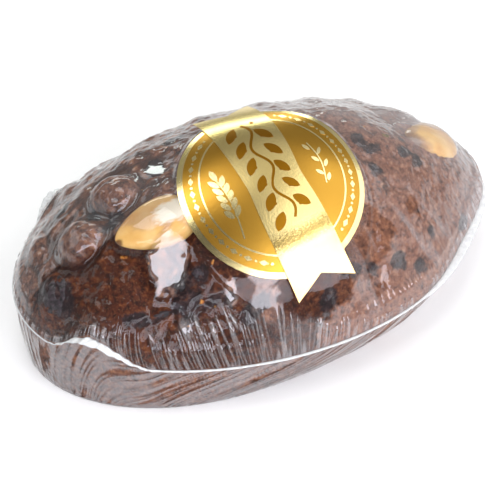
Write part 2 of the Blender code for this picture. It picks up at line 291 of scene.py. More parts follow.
def loaf_surface(way, angle):
    """The smooth loaf: way 0 is the crown's top, 1 the seam, 2 the foot's edge, 3 the underside's middle."""
    share = np.sin(0.5 * math.pi * np.minimum(way, 1.0))
    x, y = plan_point(angle, share)
    top = np.stack([x, y, crown(x, y) + ear_rise(angle) * share**12], axis=-1)
    seam = seam_plane(*plan_point(angle, 1.0)) + ear_rise(angle)
    inset = FOOT_INSET + FOOT_INSET_FRONT * window(angle, *FOOT_FRONT_SPAN)
    turn = 0.5 * math.pi * np.clip(way - 1.0, 0.0, 1.0)
    x, y = edge_point(angle, -inset * (1.0 - np.abs(np.cos(turn)) ** FOOT_ROUNDING))
    inwards = 1.0 - np.clip(way - 2.0, 0.0, 1.0)
    low = np.stack([x * inwards, y * inwards, seam * (1.0 - np.sin(turn) ** FOOT_ROUNDING)], axis=-1)
    return np.where((way <= 1.0)[:, None], top, low)


def hidden_lumps():
    """Lumps like the visible ones over the back and the right end."""
    draw = np.random.default_rng(HIDDEN_LUMP_SEED)
    found = []
    while len(found) < HIDDEN_LUMP_COUNT:
        angle = math.radians(draw.uniform(*HIDDEN_LUMP_ANGLES))
        place = tuple(float(v) for v in plan_point(angle, draw.uniform(*HIDDEN_LUMP_SHARES)))
        radius = draw.uniform(*NUT_RADIUS)
        height = draw.uniform(*NUT_HEIGHT)
        clear = all(math.dist(place, at) > HIDDEN_LUMP_SPACING * (radius + other) for at, other, _ in found)
        if place[1] > HIDDEN_LUMP_FRONT and clear:
            found.append((place, radius, height))
    return tuple(found)


ALL_LUMPS = LUMPS + hidden_lumps()


def lumpiness(x, y):
    """How craggy the dough is: most over the left end and the back, least on the smooth right shoulder."""
    left = smoothstep(-x, -0.020, 0.045)
    front = smoothstep(-y, 0.020, 0.034)
    shoulder = mound(x, y, (0.0400, -0.0160), 0.0260)
    end = mound(x, y, (-0.0500, -0.0240), 0.0150)
    return np.clip(0.36 + 0.64 * left - 0.35 * front * left - 0.40 * shoulder - 0.45 * end, 0.06, 1.0)


def dough_relief(points):
    """How far the dough stands out of the smooth loaf at these points of it, mostly less than nothing."""
    x, y, z = points.T
    above = smoothstep(z - seam_plane(x, y), 0.001, 0.010)
    lumps = sum(height * mound(x, y, place, radius) for place, radius, height in ALL_LUMPS[2:])
    rough = lumpiness(x, y)
    for nut, radius, height in LUMPS[:2]:
        apart = np.hypot(x - nut[0], y - nut[1]) / radius
        lumps = lumps + NUT_BULGE * height * np.maximum(0.0, 1.0 - apart**2) ** 0.6
        lumps = lumps - NUT_MOAT * height * np.exp(-(((apart - NUT_MOAT_REACH) / 0.24) ** 2))
        rough = rough * (1.0 - 0.80 * np.exp(-(apart**4)))
    clods = CLOD_HEIGHT * (clods_at(points, CLOD_SIZE, 3.7) - 0.80) * rough
    swell = SWELL_HEIGHT * noise_at(points, SWELL_SIZE, 9.1, 2)
    crumb = CRUMB_HEIGHT * noise_at(points, CRUMB_SIZE, 5.3, 3)
    pits = -PIT_DEPTH * smoothstep(noise_at(points, PIT_SIZE, 21.4, 2), 0.36, 0.70) * (0.3 + 0.7 * rough)
    hollows = sum(depth * mound(x, y, place, radius) for place, radius, depth in HOLLOWS)
    return (lumps + swell - FILM_SLACK) * above + clods + crumb + pits - hollows - DOUGH_SINK


def crease_shade_at(points):
    """How dark the dough is painted here, from 0 to 1: deep in the creases between lumps and in the ring
    round a covered nut, for the shade that falls there and the syrup that collects there.
    """
    x, y, _ = points.T
    found = (1.0 - smoothstep(clods_at(points, CLOD_SIZE, 3.7), 0.02, 0.32)) * lumpiness(x, y)
    for nut, radius, _ in LUMPS[:2]:
        apart = np.hypot(x - nut[0], y - nut[1]) / radius
        ring = np.exp(-(((apart - NUT_MOAT_REACH) / 0.20) ** 2))
        found = np.maximum(found * (1.0 - np.exp(-(apart**4))), ring)
    return found


def raisin_cover(x, y):
    """1 inside the dark fruit that shows at the surface, 0 well outside it."""
    cover = np.zeros_like(x)
    for place, length, width, heading in RAISINS:
        turn = math.radians(heading)
        lean_x, lean_y, upright = crown_normal(np.array([place[0]]), np.array([place[1]]))[0]
        fall = (x - place[0]) * lean_x + (y - place[1]) * lean_y
        fall = fall * (1.0 / upright - 1.0) / (1.0 - upright**2)
        over, up = x - place[0] + lean_x * fall, y - place[1] + lean_y * fall
        along = over * math.cos(turn) + up * math.sin(turn)
        across = up * math.cos(turn) - over * math.sin(turn)
        reach = np.hypot(along / (0.5 * length), across / (0.5 * width))
        cover = np.maximum(cover, 1.0 - 0.5 * reach)
    return np.clip(cover, 0.0, 1.0)


bpy.ops.mesh.primitive_uv_sphere_add(segments=440, ring_count=208, radius=1.0)
dough = bpy.context.object
dough.name = "dough"
ball = points_of(dough)
DOUGH_SPLIT = (0.70, 0.92)  # shares of the ball's rings down to the seam, and down to the foot's edge
fall = np.arccos(np.clip(ball[:, 2], -1.0, 1.0)) / math.pi
dough_angle = np.arctan2(ball[:, 1], ball[:, 0])
dough_way = np.interp(fall, (0.0, *DOUGH_SPLIT, 1.0), (0.0, 1.0, 2.0, 3.0))
smooth = loaf_surface(dough_way, dough_angle)
set_points(dough, smooth)
outwards = normals_of(dough)
dough_height = dough_relief(smooth)
dough_height = np.where(dough_way > 1.9, -UNDERSIDE_SINK, dough_height)

# ---- The almonds. Two blanched kernels pressed into the top before baking: waxy, cream to honey, pointed at
# one end. The left one has a pale flaky patch and a brown tip, the right one brown skin on its lower end.
ALMOND_WIDTH = 0.0142
ALMOND_THICKNESS = 0.0074
ALMOND_TAPER = 0.22
ALMOND_ROUNDNESS = 0.10
ALMONDS = (  # node, place, length, heading, pitch and how deep the middle lies
    ("almond_left", (-0.0364, -0.0143), 0.0250, 2.0, 12.0, 0.0018),
    ("almond_right", (0.0582, 0.0012), 0.0264, 9.0, 0.0, 0.0028),
)


def almond_lie(place, heading, pitch, depth):
    """Where an almond lies: its middle, and its own long, cross and upright directions."""
    place = np.array(place)
    up = crown_normal(*place)
    ahead = np.array([math.cos(math.radians(heading)), math.sin(math.radians(heading)), 0.0])
    ahead = ahead - up * ahead.dot(up)
    ahead /= np.linalg.norm(ahead)
    side = np.cross(up, ahead)
    middle = on_crown(*place) - up * depth
    lean = math.radians(pitch)
    ahead, up = (
        ahead * math.cos(lean) - up * math.sin(lean),
        ahead * math.sin(lean) + up * math.cos(lean),
    )
    return middle, ahead, side, up


def almond_girth(along):
    return 1.0 + ALMOND_TAPER * along - ALMOND_ROUNDNESS * along**2


def almond_top(x, y, margin=0.0):
    """How far the almonds stand out of the smooth crown, or well below it where there is none."""
    points = on_crown(x, y)
    highest = np.full(x.shape, -0.0100)
    for _, place, length, heading, pitch, depth in ALMONDS:
        middle, ahead, side, up = almond_lie(place, heading, pitch, depth)
        away = points - middle
        along = away @ ahead / (0.5 * length + margin)
        girth = almond_girth(np.clip(along, -1.0, 1.0))
        across = away @ side / (girth * 0.5 * ALMOND_WIDTH + margin)
        inside = 1.0 - along**2 - across**2
        half = girth * 0.5 * ALMOND_THICKNESS + margin
        top = np.sqrt(np.maximum(inside, 0.0)) * half - away @ up
        highest = np.where(inside > 0.0, np.maximum(highest, top), highest)
    return highest


# a blanched kernel is dense and oily: the eye sees soft light from within and a broad, weak sheen
waxy, tree = new_material("blanched_almond_kernel")
place = add_node(tree, "TexCoord")
blush = add_node(tree, "TexNoise", {"Vector": place.outputs["Object"], "Scale": 140.0, "Detail": 3.0})
tone = add_node(
    tree, "ValToRGB", {"Fac": blush}, stops=((0.30, "#D8A050"), (0.50, "#E6B96C"), (0.72, "#F0CE8C"))
)
flake = add_node(tree, "Attribute", attribute_name="flake")
fibres = add_node(tree, "Mapping", {"Vector": place.outputs["Object"], "Scale": (0.45, 1.5, 1.2)})
torn = add_node(tree, "TexNoise", {"Vector": fibres, "Scale": 900.0, "Detail": 5.0, "Roughness": 0.7})
edge = add_node(tree, "Math", {0: flake.outputs["Fac"], 1: torn}, operation="ADD")
patch = add_node(tree, "MapRange", {"Value": edge, "From Min": 0.96, "From Max": 1.18}, clamp=True)
kernel = add_node(tree, "Mix", {0: patch, 6: tone, 7: srgb("#FBF3E2")}, data_type="RGBA")
grain = add_node(tree, "Bump", {"Height": torn, "Strength": 0.25, "Distance": 0.0002})
scar = add_node(tree, "Attribute", attribute_name="scar")
tipped = add_node(
    tree, "Mix", {0: scar.outputs["Fac"], 6: kernel.outputs[2], 7: srgb("#5A2A12")}, data_type="RGBA"
)
body = add_node(
    tree,
    "BsdfPrincipled",
    {
        "Base Color": tipped.outputs[2],
        "Roughness": 0.42,
        "Subsurface Weight": 0.15,
        "Subsurface Radius": (0.0020, 0.0012, 0.0006),
        "Subsurface Scale": 1.0,
        "Normal": grain,
    },
)
add_node(tree, "OutputMaterial", {"Surface": body})

for name, place_at, length, heading, pitch, depth in ALMONDS:
    bpy.ops.mesh.primitive_uv_sphere_add(segments=72, ring_count=56, radius=1.0)
    nut = bpy.context.object
    nut.name = f"{name}_kernel"
    ball = points_of(nut)
    along, across, upward = ball[:, 2], ball[:, 0], ball[:, 1]
    girth = almond_girth(along)
    wave = 1.0 + 0.025 * noise_at(ball, 0.5, 2.2, 2)
    shape = np.stack(
        [
            along * 0.5 * length,
            across * girth * wave * 0.5 * ALMOND_WIDTH,
            upward * girth * wave * 0.5 * ALMOND_THICKNESS,
        ],
        axis=-1,
    )
    middle, ahead, side, up = almond_lie(place_at, heading, pitch, depth)
    set_points(nut, middle + shape @ np.stack([ahead, side, up]) - (*PLAN_MIDDLE, 0.0))
    scar = np.exp(-(((along + 0.98) / 0.12) ** 2) - ((across + 0.22) / 0.24) ** 2)
    if name == "almond_right":
        scar = 0.62 * np.exp(-(((along + 1.0) / 0.55) ** 2)) * (1.0 - 0.5 * across)
    write_attribute(nut, "scar", 0.8 * smoothstep(scar + 0.10 * noise_at(ball, 0.12, 8.0, 2), 0.30, 0.70))
    flake = np.exp(-(((along - 0.45) / 0.62) ** 4) - ((across - 0.10) / 0.52) ** 4) * (upward > 0.0)
    write_attribute(nut, "flake", (0.80 if name == "almond_left" else 0.0) * flake)
    bpy.ops.object.shade_smooth()
    bpy.ops.object.select_all(action="DESELECT")
    nut.data.materials.append(waxy)
    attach(nut, "root")
    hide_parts(name)

# ---- The dried fruit. Raisins, a prune and a sultana that broke the surface when the loaf was shaped:
# wrinkled, black or olive, sunk up to their backs. Candied orange peel is cut in bits of 1 to 2 mm.
FRUIT_DEPTH = 0.0026
PRUNE = ((-0.0664, -0.0104), 0.0125, 0.0090, 60.0)
SULTANA = ((0.0391, -0.0045), 0.0072, 0.0046, -5.0)
PEEL_PLACES = (  # bits that show in the crust, to which loose ones are added all round
    (-0.0480, -0.0160), (-0.0426, -0.0208), (-0.0254, -0.0283), (-0.0313, -0.0336), (-0.0364, -0.0361),
    (-0.0473, -0.0165), (-0.0543, -0.0268), (-0.0523, -0.0289), (-0.0258, -0.0286), (-0.0314, -0.0339),
)
PEEL_SEED = 5
PEEL_EXTRA = 26
PEEL_DEPTH = 0.0009
PRUNE_DEPTH = 0.0060
SEAL_MIDDLE = (-0.0023, -0.0170)
SEAL_CLEARANCE = 0.0280  # no loose peel lies under the seal
RAISIN_SHRINK = 0.72  # the skin is drawn in from the dark patch that it leaves


def surface_frame(x, y, sink):
    """A place this far below the dough's surface, with two directions along it and its normal."""
    spot = on_crown(np.array([x]), np.array([y]))
    up = crown_normal(spot[:, 0], spot[:, 1])[0]
    middle = spot[0] + up * (dough_relief(spot)[0] - sink)
    ahead = np.array([1.0, 0.0, 0.0]) - up * up[0]
    ahead /= np.linalg.norm(ahead)
    return middle, ahead, np.cross(up, ahead), up


def sunk_bit(name, place, length, width, depth, heading, rise, wrinkle, segments=20, rings=14):
    """One bit of fruit lying in the dough with this much of its back standing out."""
    bpy.ops.mesh.primitive_uv_sphere_add(segments=segments, ring_count=rings, radius=1.0)
    bit = bpy.context.object
    bit.name = name
    ball = points_of(bit)
    middle, ahead, side, up = surface_frame(*place, 0.5 * depth - rise)
    creased = 1.0 + wrinkle * (noise_at(ball, 0.55, 100.0 * place[0] + 1.0, 2) - 0.2)
    shape = ball * creased[:, None] * (0.5 * length, 0.5 * width, 0.5 * depth)
    turn = math.radians(heading)
    along = ahead * math.cos(turn) + side * math.sin(turn)
    across = side * math.cos(turn) - ahead * math.sin(turn)
    set_points(bit, middle + shape @ np.stack([along, across, up]) - (*PLAN_MIDDLE, 0.0))
    return bit


def join_pieces(pieces, name):
    bpy.ops.object.select_all(action="DESELECT")
    for piece in pieces:
        piece.select_set(True)
    bpy.context.view_layer.objects.active = pieces[0]
    bpy.ops.object.join()
    bpy.context.object.name = name
    return bpy.context.object


def join_bits(bits, name, material):
    whole = join_pieces(bits, name)
    whole.data.name = name
    bpy.ops.object.shade_smooth()
    bpy.ops.object.select_all(action="DESELECT")
    whole.data.materials.clear()
    whole.data.materials.append(material)
    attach(whole, "root")
    return whole


def fruit_material(name, dark, light, roughness):
    """Dried fruit skin: sticky and wrinkled, with a slight gloss."""
    made, tree = new_material(name)
    place = add_node(tree, "TexCoord")
    wrinkle = add_node(tree, "TexNoise", {"Vector": place.outputs["Object"], "Scale": 900.0, "Detail": 3.0})
    tone = add_node(tree, "ValToRGB", {"Fac": wrinkle}, stops=((0.35, dark), (0.68, light)))
    bump = add_node(tree, "Bump", {"Height": wrinkle, "Strength": 0.7, "Distance": 0.0004})
    body = add_node(tree, "BsdfPrincipled", {"Base Color": tone, "Roughness": roughness, "Normal": bump})
    add_node(tree, "OutputMaterial", {"Surface": body})
    return made


raisin_skin = fruit_material("raisin_skin", "#0E0A0C", "#463A40", 0.45)
sultana_skin = fruit_material("sultana_skin", "#5A4A18", "#A08A3C", 0.40)
candied_peel = fruit_material("candied_orange_peel", "#A85A1C", "#E0A04A", 0.35)
raisins = [
    sunk_bit(
        "raisin", place, RAISIN_SHRINK * length, RAISIN_SHRINK * width, FRUIT_DEPTH, heading, 0.0002, 0.36
    )
    for place, length, width, heading in RAISINS
]
raisins.append(sunk_bit("prune", *PRUNE[:3], PRUNE_DEPTH, PRUNE[3], 0.0004, 0.30, 36, 26))
join_bits(raisins, "raisins", raisin_skin)
sultana = sunk_bit("sultana", *SULTANA[:3], FRUIT_DEPTH, SULTANA[3], 0.0003, 0.15)
join_bits([sultana], "sultana", sultana_skin)
draw = np.random.default_rng(PEEL_SEED)
peel = []
for x, y in PEEL_PLACES:
    size = draw.uniform(0.0010, 0.0020)
    turned = draw.uniform(0, 180)
    peel.append(sunk_bit("peel", (x, y), size, 0.8 * size, PEEL_DEPTH, turned, 0.00015, 0.3, 8, 6))
for _ in range(PEEL_EXTRA):
    x, y = plan_point(math.radians(draw.uniform(0.0, 360.0)), draw.uniform(0.35, 0.93))
    bare = np.all(almond_top(np.array([x]), np.array([y])) < 0.0)
    if math.dist((x, y), SEAL_MIDDLE) > SEAL_CLEARANCE and bare:
        size = draw.uniform(0.0007, 0.0015)
        turned = draw.uniform(0, 180)
        peel.append(sunk_bit("peel", (x, y), size, 0.8 * size, PEEL_DEPTH, turned, 0.00012, 0.3, 8, 6))
join_bits(peel, "orange_peel", candied_peel)

# ---- The film. A bag of clear polyolefin film shrunk onto the bread with hot air. It is drawn tight over the
# lumps, where it wets to the crust and goes clear. Over hollows its faces mirror the room and look milky,
# and it gathers in fine pleats along its welds.
TENSION_GRID = 0.00055
TENSION_ROUNDS = 900
SHRINK_PRESSURE = 420.0  # how hard the film is drawn in: metres of bow per square metre of span
CONTACT_GAP = 0.00012
ALMOND_GAP = 0.0001
FILM_HELD_SHARE = 0.965  # from this share of the plan out to the seam the film is held
SEAL_RADIUS = 0.0270
FILM_UNDER_SEAL = 0.00008
SEAL_BED_MARGIN = 0.0003
FILM_WINDOWS = (  # flat windows where the film stands off: place, half length and width, heading, facing
    ((-0.0372, -0.0238), 0.0070, 0.0058, 48.0, (-12.5, 33.4)),
    ((-0.0296, 0.0036), 0.0052, 0.0038, -15.0, (-150.8, 77.7)),
    ((-0.0230, -0.0350), 0.0030, 0.0018, 70.0, (-12.5, 33.4)),
    ((-0.0434, 0.0026), 0.0017, 0.0012, 0.0, (-150.8, 77.7)),
)
CLEAR_PLACES = (  # where the film is wetted to the crust: place, radius and strength
    ((-0.0531, -0.0230), 0.0120, 1.4),
    ((-0.0460, -0.0250), 0.0100, 1.0),
    ((-0.0600, -0.0200), 0.0080, 0.8),
    ((-0.0349, -0.0337), 0.0110, 1.1),
    ((-0.0270, -0.0300), 0.0090, 1.1),
    ((0.0160, -0.0335), 0.0075, 0.9),
    ((0.0260, -0.0300), 0.0050, 0.6),
    ((-0.0050, -0.0400), 0.0070, 1.0),
    ((0.0060, -0.0390), 0.0055, 0.8),
    ((0.0210, -0.0290), 0.0040, 0.6),
    ((-0.0663, -0.0099), 0.0065, 1.2),
    ((-0.0300, -0.0395), 0.0100, 1.0),
    ((-0.0480, -0.0350), 0.0090, 0.9),
    ((-0.0640, -0.0190), 0.0050, 0.6),
    ((-0.0425, -0.0335), 0.0085, 1.3),
    ((0.0400, -0.0240), 0.0050, 0.6),
    ((0.0590, 0.0000), 0.0095, 0.8),
)


def window_cover(x, y, place, long_half, wide_half, heading):
    """1 inside a window of film and 0 outside it, with a ragged edge."""
    turn = math.radians(heading)
    along = (x - place[0]) * math.cos(turn) + (y - place[1]) * math.sin(turn)
    across = (y - place[1]) * math.cos(turn) - (x - place[0]) * math.sin(turn)
    spots = np.stack([x, y, np.zeros_like(x)], axis=-1)
    near = np.hypot(along / long_half, across / wide_half) < 1.6
    ragged = np.zeros_like(x)
    ragged[near] = 0.30 * noise_at(spots[near], 0.0030, 31.0, 3)
    return smoothstep(1.0 - np.hypot(along / long_half, across / wide_half) + ragged, 0.0, 0.30)


def film_height_grid():
    """Film height over the smooth crown on a plan grid: a net drawn over dough, nuts and the seal's bed."""
    xs = np.arange(-0.0780, 0.0781, TENSION_GRID)
    ys = np.arange(-0.0480, 0.0481, TENSION_GRID)
    x, y = np.meshgrid(xs, ys, indexing="ij")
    share = plan_share(x, y)
    points = on_crown(x, y)
    floor = dough_relief(points.reshape(-1, 3)).reshape(x.shape)
    nuts = almond_top(x, y, ALMOND_GAP)
    floor = np.maximum(floor, nuts) + CONTACT_GAP
    apart = np.hypot(x - SEAL_MIDDLE[0], y - SEAL_MIDDLE[1])
    bed = (apart < SEAL_RADIUS + SEAL_BED_MARGIN) & (nuts < FILM_UNDER_SEAL)
    held = share > FILM_HELD_SHARE
    slack = np.clip(sum(mound(x, y, place, 1.7 * radius) for place, radius, _ in HOLLOWS), 0.0, 1.0)
    hug = sum(mound(x, y, nut[1], 0.0170) for nut in ALMONDS) * (1.0 - slack)
    hug = np.maximum(hug, mound(x, y, (-0.0320, -0.0370), 0.0150) * (1.0 - slack))
    floor = floor + RAISIN_RISE * smoothstep(raisin_cover(x, y), 0.40, 0.65)
    draw = SHRINK_PRESSURE * (1.0 - 0.9 * slack + 2.5 * hug) * TENSION_GRID**2 / 4.0
    height = np.where(held, 0.0, floor)
    for _ in range(TENSION_ROUNDS):
        mean = 0.25 * (
            np.roll(height, 1, 0) + np.roll(height, -1, 0) + np.roll(height, 1, 1) + np.roll(height, -1, 1)
        )
        height = np.where(held, 0.0, np.maximum(floor, mean - draw))
        height = np.where(bed, FILM_UNDER_SEAL, height)
    for place, long_half, wide_half, heading, (azimuth, elevation) in FILM_WINDOWS:
        turn, rise = math.radians(azimuth), math.radians(elevation)
        slope_x, slope_y = -math.sin(turn) / math.tan(rise), math.cos(turn) / math.tan(rise)
        upright = crown_normal(*(np.array([v]) for v in place))[0, 2]
        plane = slope_x * (x - place[0]) + slope_y * (y - place[1])
        over = (plane - (crown(x, y) - crown(*(np.array([v]) for v in place)))) * upright
        inside = window_cover(x, y, place, long_half, wide_half, heading)
        core = np.hypot(x - place[0], y - place[1]) < 0.7 * wide_half
        over = over + np.mean(height[core] - over[core])
        height = height * (1.0 - inside) + np.maximum(over, floor) * inside
    height = np.where(bed, FILM_UNDER_SEAL, height)
    return xs, ys, height, height - floor


grid_x, grid_y, film_grid, gap_grid = film_height_grid()


def read_grid(grid, x, y):
    """Reads a plan grid between its points."""
    across = np.clip((x - grid_x[0]) / TENSION_GRID, 0.0, len(grid_x) - 1.001)
    along = np.clip((y - grid_y[0]) / TENSION_GRID, 0.0, len(grid_y) - 1.001)
    i, j = across.astype(int), along.astype(int)
    u, v = across - i, along - j
    near = grid[i, j] * (1.0 - v) + grid[i, j + 1] * v
    far = grid[i + 1, j] * (1.0 - v) + grid[i + 1, j + 1] * v
    return near * (1.0 - u) + far * u


def veil_at(points, gap):
    """How milky the film looks: 0 where it wets to the crust, 1 where it stands well off it."""
    x, y, _ = points.T
    clear = sum(strength * mound(x, y, place, radius) for place, radius, strength in CLEAR_PLACES)
    angle = np.arctan2(y / HALF_WIDTH, x / HALF_LENGTH)
    clear = clear + 1.1 * window(angle, -125.0, 42.0) * smoothstep(plan_share(x, y), 0.84, 0.96)
    drift = 0.30 * noise_at(points, 0.0060, 14.2, 4)
    dry = 1.0 - smoothstep(clear + drift, 0.44, 0.56)
    taut = sum(window_cover(x, y, *at[:4]) for at in FILM_WINDOWS)
    off = smoothstep(gap, 0.00010, 0.00070)
    return np.clip(np.maximum(dry * (0.35 + 0.30 * off) + (1.0 - dry) * 0.12 * off, taut), 0.0, 1.0)


MOST_MILK_AND_REFLECTION = 0.7


def milk_and_reflection_at(points, veil):
    """How much lit white the film shows: partly its own haze where it stands off and where it is doubled over
    round the right end, partly painted reflection of the pale room along the back edge and round the ends.
    """
    x, y, _ = points.T
    share = plan_share(x, y)
    angle = np.arctan2(y / HALF_WIDTH, x / HALF_LENGTH)
    streak = 0.5 + 0.5 * noise_at(np.stack([x, 3.0 * y, 0.0 * x], axis=-1), 0.0100, 41.0, 3)
    back = smoothstep(y + 0.020 * x / HALF_LENGTH, -0.002, 0.022) * smoothstep(x, -0.030, 0.020)
    end = 0.95 * smoothstep(share, 0.85, 0.98) * window(angle, 0.0, 64.0)
    left = 0.25 * smoothstep(share, 0.90, 1.0) * window(angle, 180.0, 70.0)
    brim = 1.1 * smoothstep(share, 0.93, 0.99) * window(angle, -12.0, 44.0)
    # white over film that stands off: partly the film's own haze, partly painted reflection
    haze = 0.08 * smoothstep(veil, 0.10, 0.40) * (0.7 + 0.6 * streak)
    fall = np.stack([seam_length(angle) / 0.0055, 1.6 * share, np.full_like(share, 3.0)], axis=-1)
    fan = smoothstep(noise_at(fall, 1.0, 17.0, 3), 0.05, 0.60) * smoothstep(share, 0.60, 0.84)
    haze = haze + 0.16 * fan * window(angle, -58.0, 46.0) * (1.0 - smoothstep(share, 0.95, 1.0))
    haze = haze + 0.25 * mound(x, y, (0.0600, 0.0085), 0.0055)
    # a veil along the back, round both ends and over the right brim: painted reflection of the pale room,
    # with the film's own haze where it is doubled over
    creased = 0.36 * (0.5 + 0.6 * streak) * np.max([back, end, left, brim], axis=0)
    return np.clip(haze + creased, 0.0, MOST_MILK_AND_REFLECTION)


# The dough is finished here, because it is darkest and wettest where the film lies on it.
x, y, _ = smooth.T
dough_veil = np.where(dough_way < 1.0, veil_at(smooth, read_grid(gap_grid, x, y)), 0.3)
write_attribute(dough, "wet", 1.0 - dough_veil)
write_attribute(dough, "raisin", np.where(dough_way < 1.0, raisin_cover(x, y), 0.0))
write_attribute(dough, "right", smoothstep(x + 0.3 * y, -0.020, 0.015))
# the crease attribute on the dough carries painted shade in its creases and round the covered nuts
write_attribute(dough, "crease", np.where(dough_way < 1.0, crease_shade_at(smooth), 0.0))
under_film = np.where(dough_way < 1.0, read_grid(film_grid, x, y) - CONTACT_GAP, dough_height)
dough_height = np.minimum(dough_height, under_film)
set_points(dough, smooth + outwards * dough_height[:, None] - (*PLAN_MIDDLE, 0.0))


def tuck_under_film(piece):
    """Presses what stands above the film down under it, square to the crown."""
    points = points_of(piece) + (*PLAN_MIDDLE, 0.0)
    x, y, z = points.T
    normal = crown_normal(x, y)
    height = (z - crown(x, y)) * normal[:, 2]
    foot_x, foot_y = (points[:, :2] - normal[:, :2] * height[:, None]).T
    above = np.maximum(0.0, height - read_grid(film_grid, foot_x, foot_y) + CONTACT_GAP)
    set_points(piece, points - normal * above[:, None] - (*PLAN_MIDDLE, 0.0))


for name in ("raisins", "sultana", "orange_peel"):
    tuck_under_film(bpy.data.objects[name])

# Baked dough full of fruit is matt and coarse: the eye sees brown crumb, black fruit skins and pale specks of
# nut, all deeper and redder where the film lies on it. Its creases and the ring round each covered nut are
# darkened with painted shade.
baked, tree = new_material("baked_fruit_dough")
place = add_node(tree, "TexCoord")
where = place.outputs["Object"]
blotch = add_node(tree, "TexNoise", {"Vector": where, "Scale": 560.0, "Detail": 7.0, "Roughness": 0.72})
soaked = add_node(
    tree,
    "ValToRGB",
    {"Fac": blotch},
    stops=((0.34, "#180906"), (0.44, "#3A180C"), (0.54, "#562813"), (0.68, "#824A26")),
)
dry = add_node(
    tree,
    "ValToRGB",
    {"Fac": blotch},
    stops=((0.33, "#482A22"), (0.43, "#8E604C"), (0.55, "#B47E62"), (0.68, "#DAAC8C")),
)
brown = add_node(
    tree,
    "ValToRGB",
    {"Fac": blotch},
    stops=((0.33, "#2A1612"), (0.43, "#744430"), (0.55, "#A66C4E"), (0.68, "#D09C74")),
)
wet = add_node(tree, "Attribute", attribute_name="wet")
right = add_node(tree, "Attribute", attribute_name="right")
crust = add_node(tree, "Mix", {0: right.outputs["Fac"], 6: brown, 7: dry}, data_type="RGBA")
edge = add_node(
    tree, "MapRange", {"Value": wet.outputs["Fac"], "From Min": 0.60, "From Max": 0.85}, clamp=True
)
thinner = add_node(
    tree, "MapRange", {"Value": right.outputs["Fac"], "To Min": 1.0, "To Max": 0.55}, clamp=True
)
soak = add_node(tree, "Math", {0: edge, 1: thinner}, operation="MULTIPLY")
meal = add_node(tree, "Mix", {0: soak, 6: crust.outputs[2], 7: soaked}, data_type="RGBA")
# crushed nut and peel, grains of 0.4 mm
grit = add_node(tree, "TexNoise", {"Vector": where, "Scale": 1900.0, "Detail": 2.0})
speck = add_node(
    tree, "MapRange", {"Value": grit, "From Min": 0.55, "From Max": 0.72, "To Max": 0.35}, clamp=True
)
grained = add_node(tree, "Mix", {0: speck, 6: meal.outputs[2], 7: srgb("#A06E44")}, data_type="RGBA")
# dark fruit, in patches of 4 to 8 mm with ragged edges
chunk = add_node(tree, "TexNoise", {"Vector": where, "Scale": 130.0, "Detail": 5.0, "Roughness": 0.65})
fruit = add_node(tree, "Attribute", attribute_name="raisin")
ragged = add_node(tree, "Math", {0: chunk, 1: 2.4, 2: fruit.outputs["Fac"]}, operation="MULTIPLY_ADD")
dark = add_node(
    tree, "MapRange", {"Value": ragged, "From Min": 1.54, "From Max": 1.76, "To Max": 0.90}, clamp=True
)
skin = add_node(
    tree,
    "ValToRGB",
    {"Fac": blotch},
    stops=((0.35, "#120D0E"), (0.50, "#2A2023"), (0.60, "#4A3A3A"), (0.72, "#6A5248")),
)
fruited = add_node(tree, "Mix", {0: dark, 6: grained.outputs[2], 7: skin}, data_type="RGBA")
# painted shade: the crease attribute darkens the dough towards #1A1012 in its creases and round the covered
# nuts
sunk = add_node(tree, "Attribute", attribute_name="crease")
shade = add_node(tree, "Math", {0: sunk.outputs["Fac"], 1: blotch}, operation="MULTIPLY")
depth = add_node(
    tree, "MapRange", {"Value": shade, "From Min": 0.12, "From Max": 0.50, "To Max": 0.70}, clamp=True
)
shaded = add_node(tree, "Mix", {0: depth, 6: fruited.outputs[2], 7: srgb("#1A1012")}, data_type="RGBA")
relief = add_node(tree, "Bump", {"Height": blotch, "Strength": 0.9, "Distance": 0.0006})
body = add_node(
    tree,
    "BsdfPrincipled",
    {
        "Base Color": shaded.outputs[2],
        "Roughness": 0.6,
        "Specular IOR Level": 0.25,
        "Normal": relief,
    },
)
add_node(tree, "OutputMaterial", {"Surface": body})
dough.data.materials.append(baked)
dough.select_set(True)
bpy.context.view_layer.objects.active = dough
bpy.ops.object.shade_smooth()
dough.select_set(False)
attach(dough, "root")


def polar_sheet(name, around, rings):
    """A sheet closed round the loaf, and each vertex's angle and its share of the way from ring to ring."""
    bpy.ops.mesh.primitive_grid_add(x_subdivisions=around, y_subdivisions=rings, size=2.0)
    sheet = bpy.context.object
    sheet.name = name
    flat = points_of(sheet)
    return sheet, (flat[:, 0] + 1.0) * math.pi, 0.5 * (1.0 - flat[:, 1])


def crowd_front(angle):
    """Moves most of a sheet's vertices to the pleated front and right end."""
    return np.radians(np.interp(np.degrees(angle), (0.0, 90.0, 155.0, 360.0), (0.0, 50.0, 210.0, 360.0)))


def close_sheet():
    """Closes the sheet that was made last and turns its faces outwards."""
    bpy.ops.object.mode_set(mode="EDIT")
    bpy.ops.mesh.select_all(action="SELECT")
    bpy.ops.mesh.remove_doubles(threshold=0.000002)
    bpy.ops.mesh.normals_make_consistent(inside=False)
    bpy.ops.object.mode_set(mode="OBJECT")
    bpy.ops.object.shade_smooth()
    bpy.ops.object.select_all(action="DESELECT")


GATHER_WAY = 0.62  # the film is in two sheets above the seam, which meet here
PLEAT_WIDTH = 0.00105
PLEAT_LENGTH = 0.0200
PLEAT_HEIGHT = 0.00030
PLEAT_SHARPNESS = 5.5
PLEAT_FRONT_SPAN = (-112.0, 40.0)
PLEAT_RIGHT_SPAN = (-18.0, 50.0)
STREAK_WIDTH = 0.0012
STREAK_LENGTH = 0.0180
STREAK_HEIGHT = 0.00022
STREAK_SLANT = 1.8
STREAK_SLANT_SPAN = (-112.0, 62.0)
PLAIN_BACK_SPAN = (90.0, 110.0)


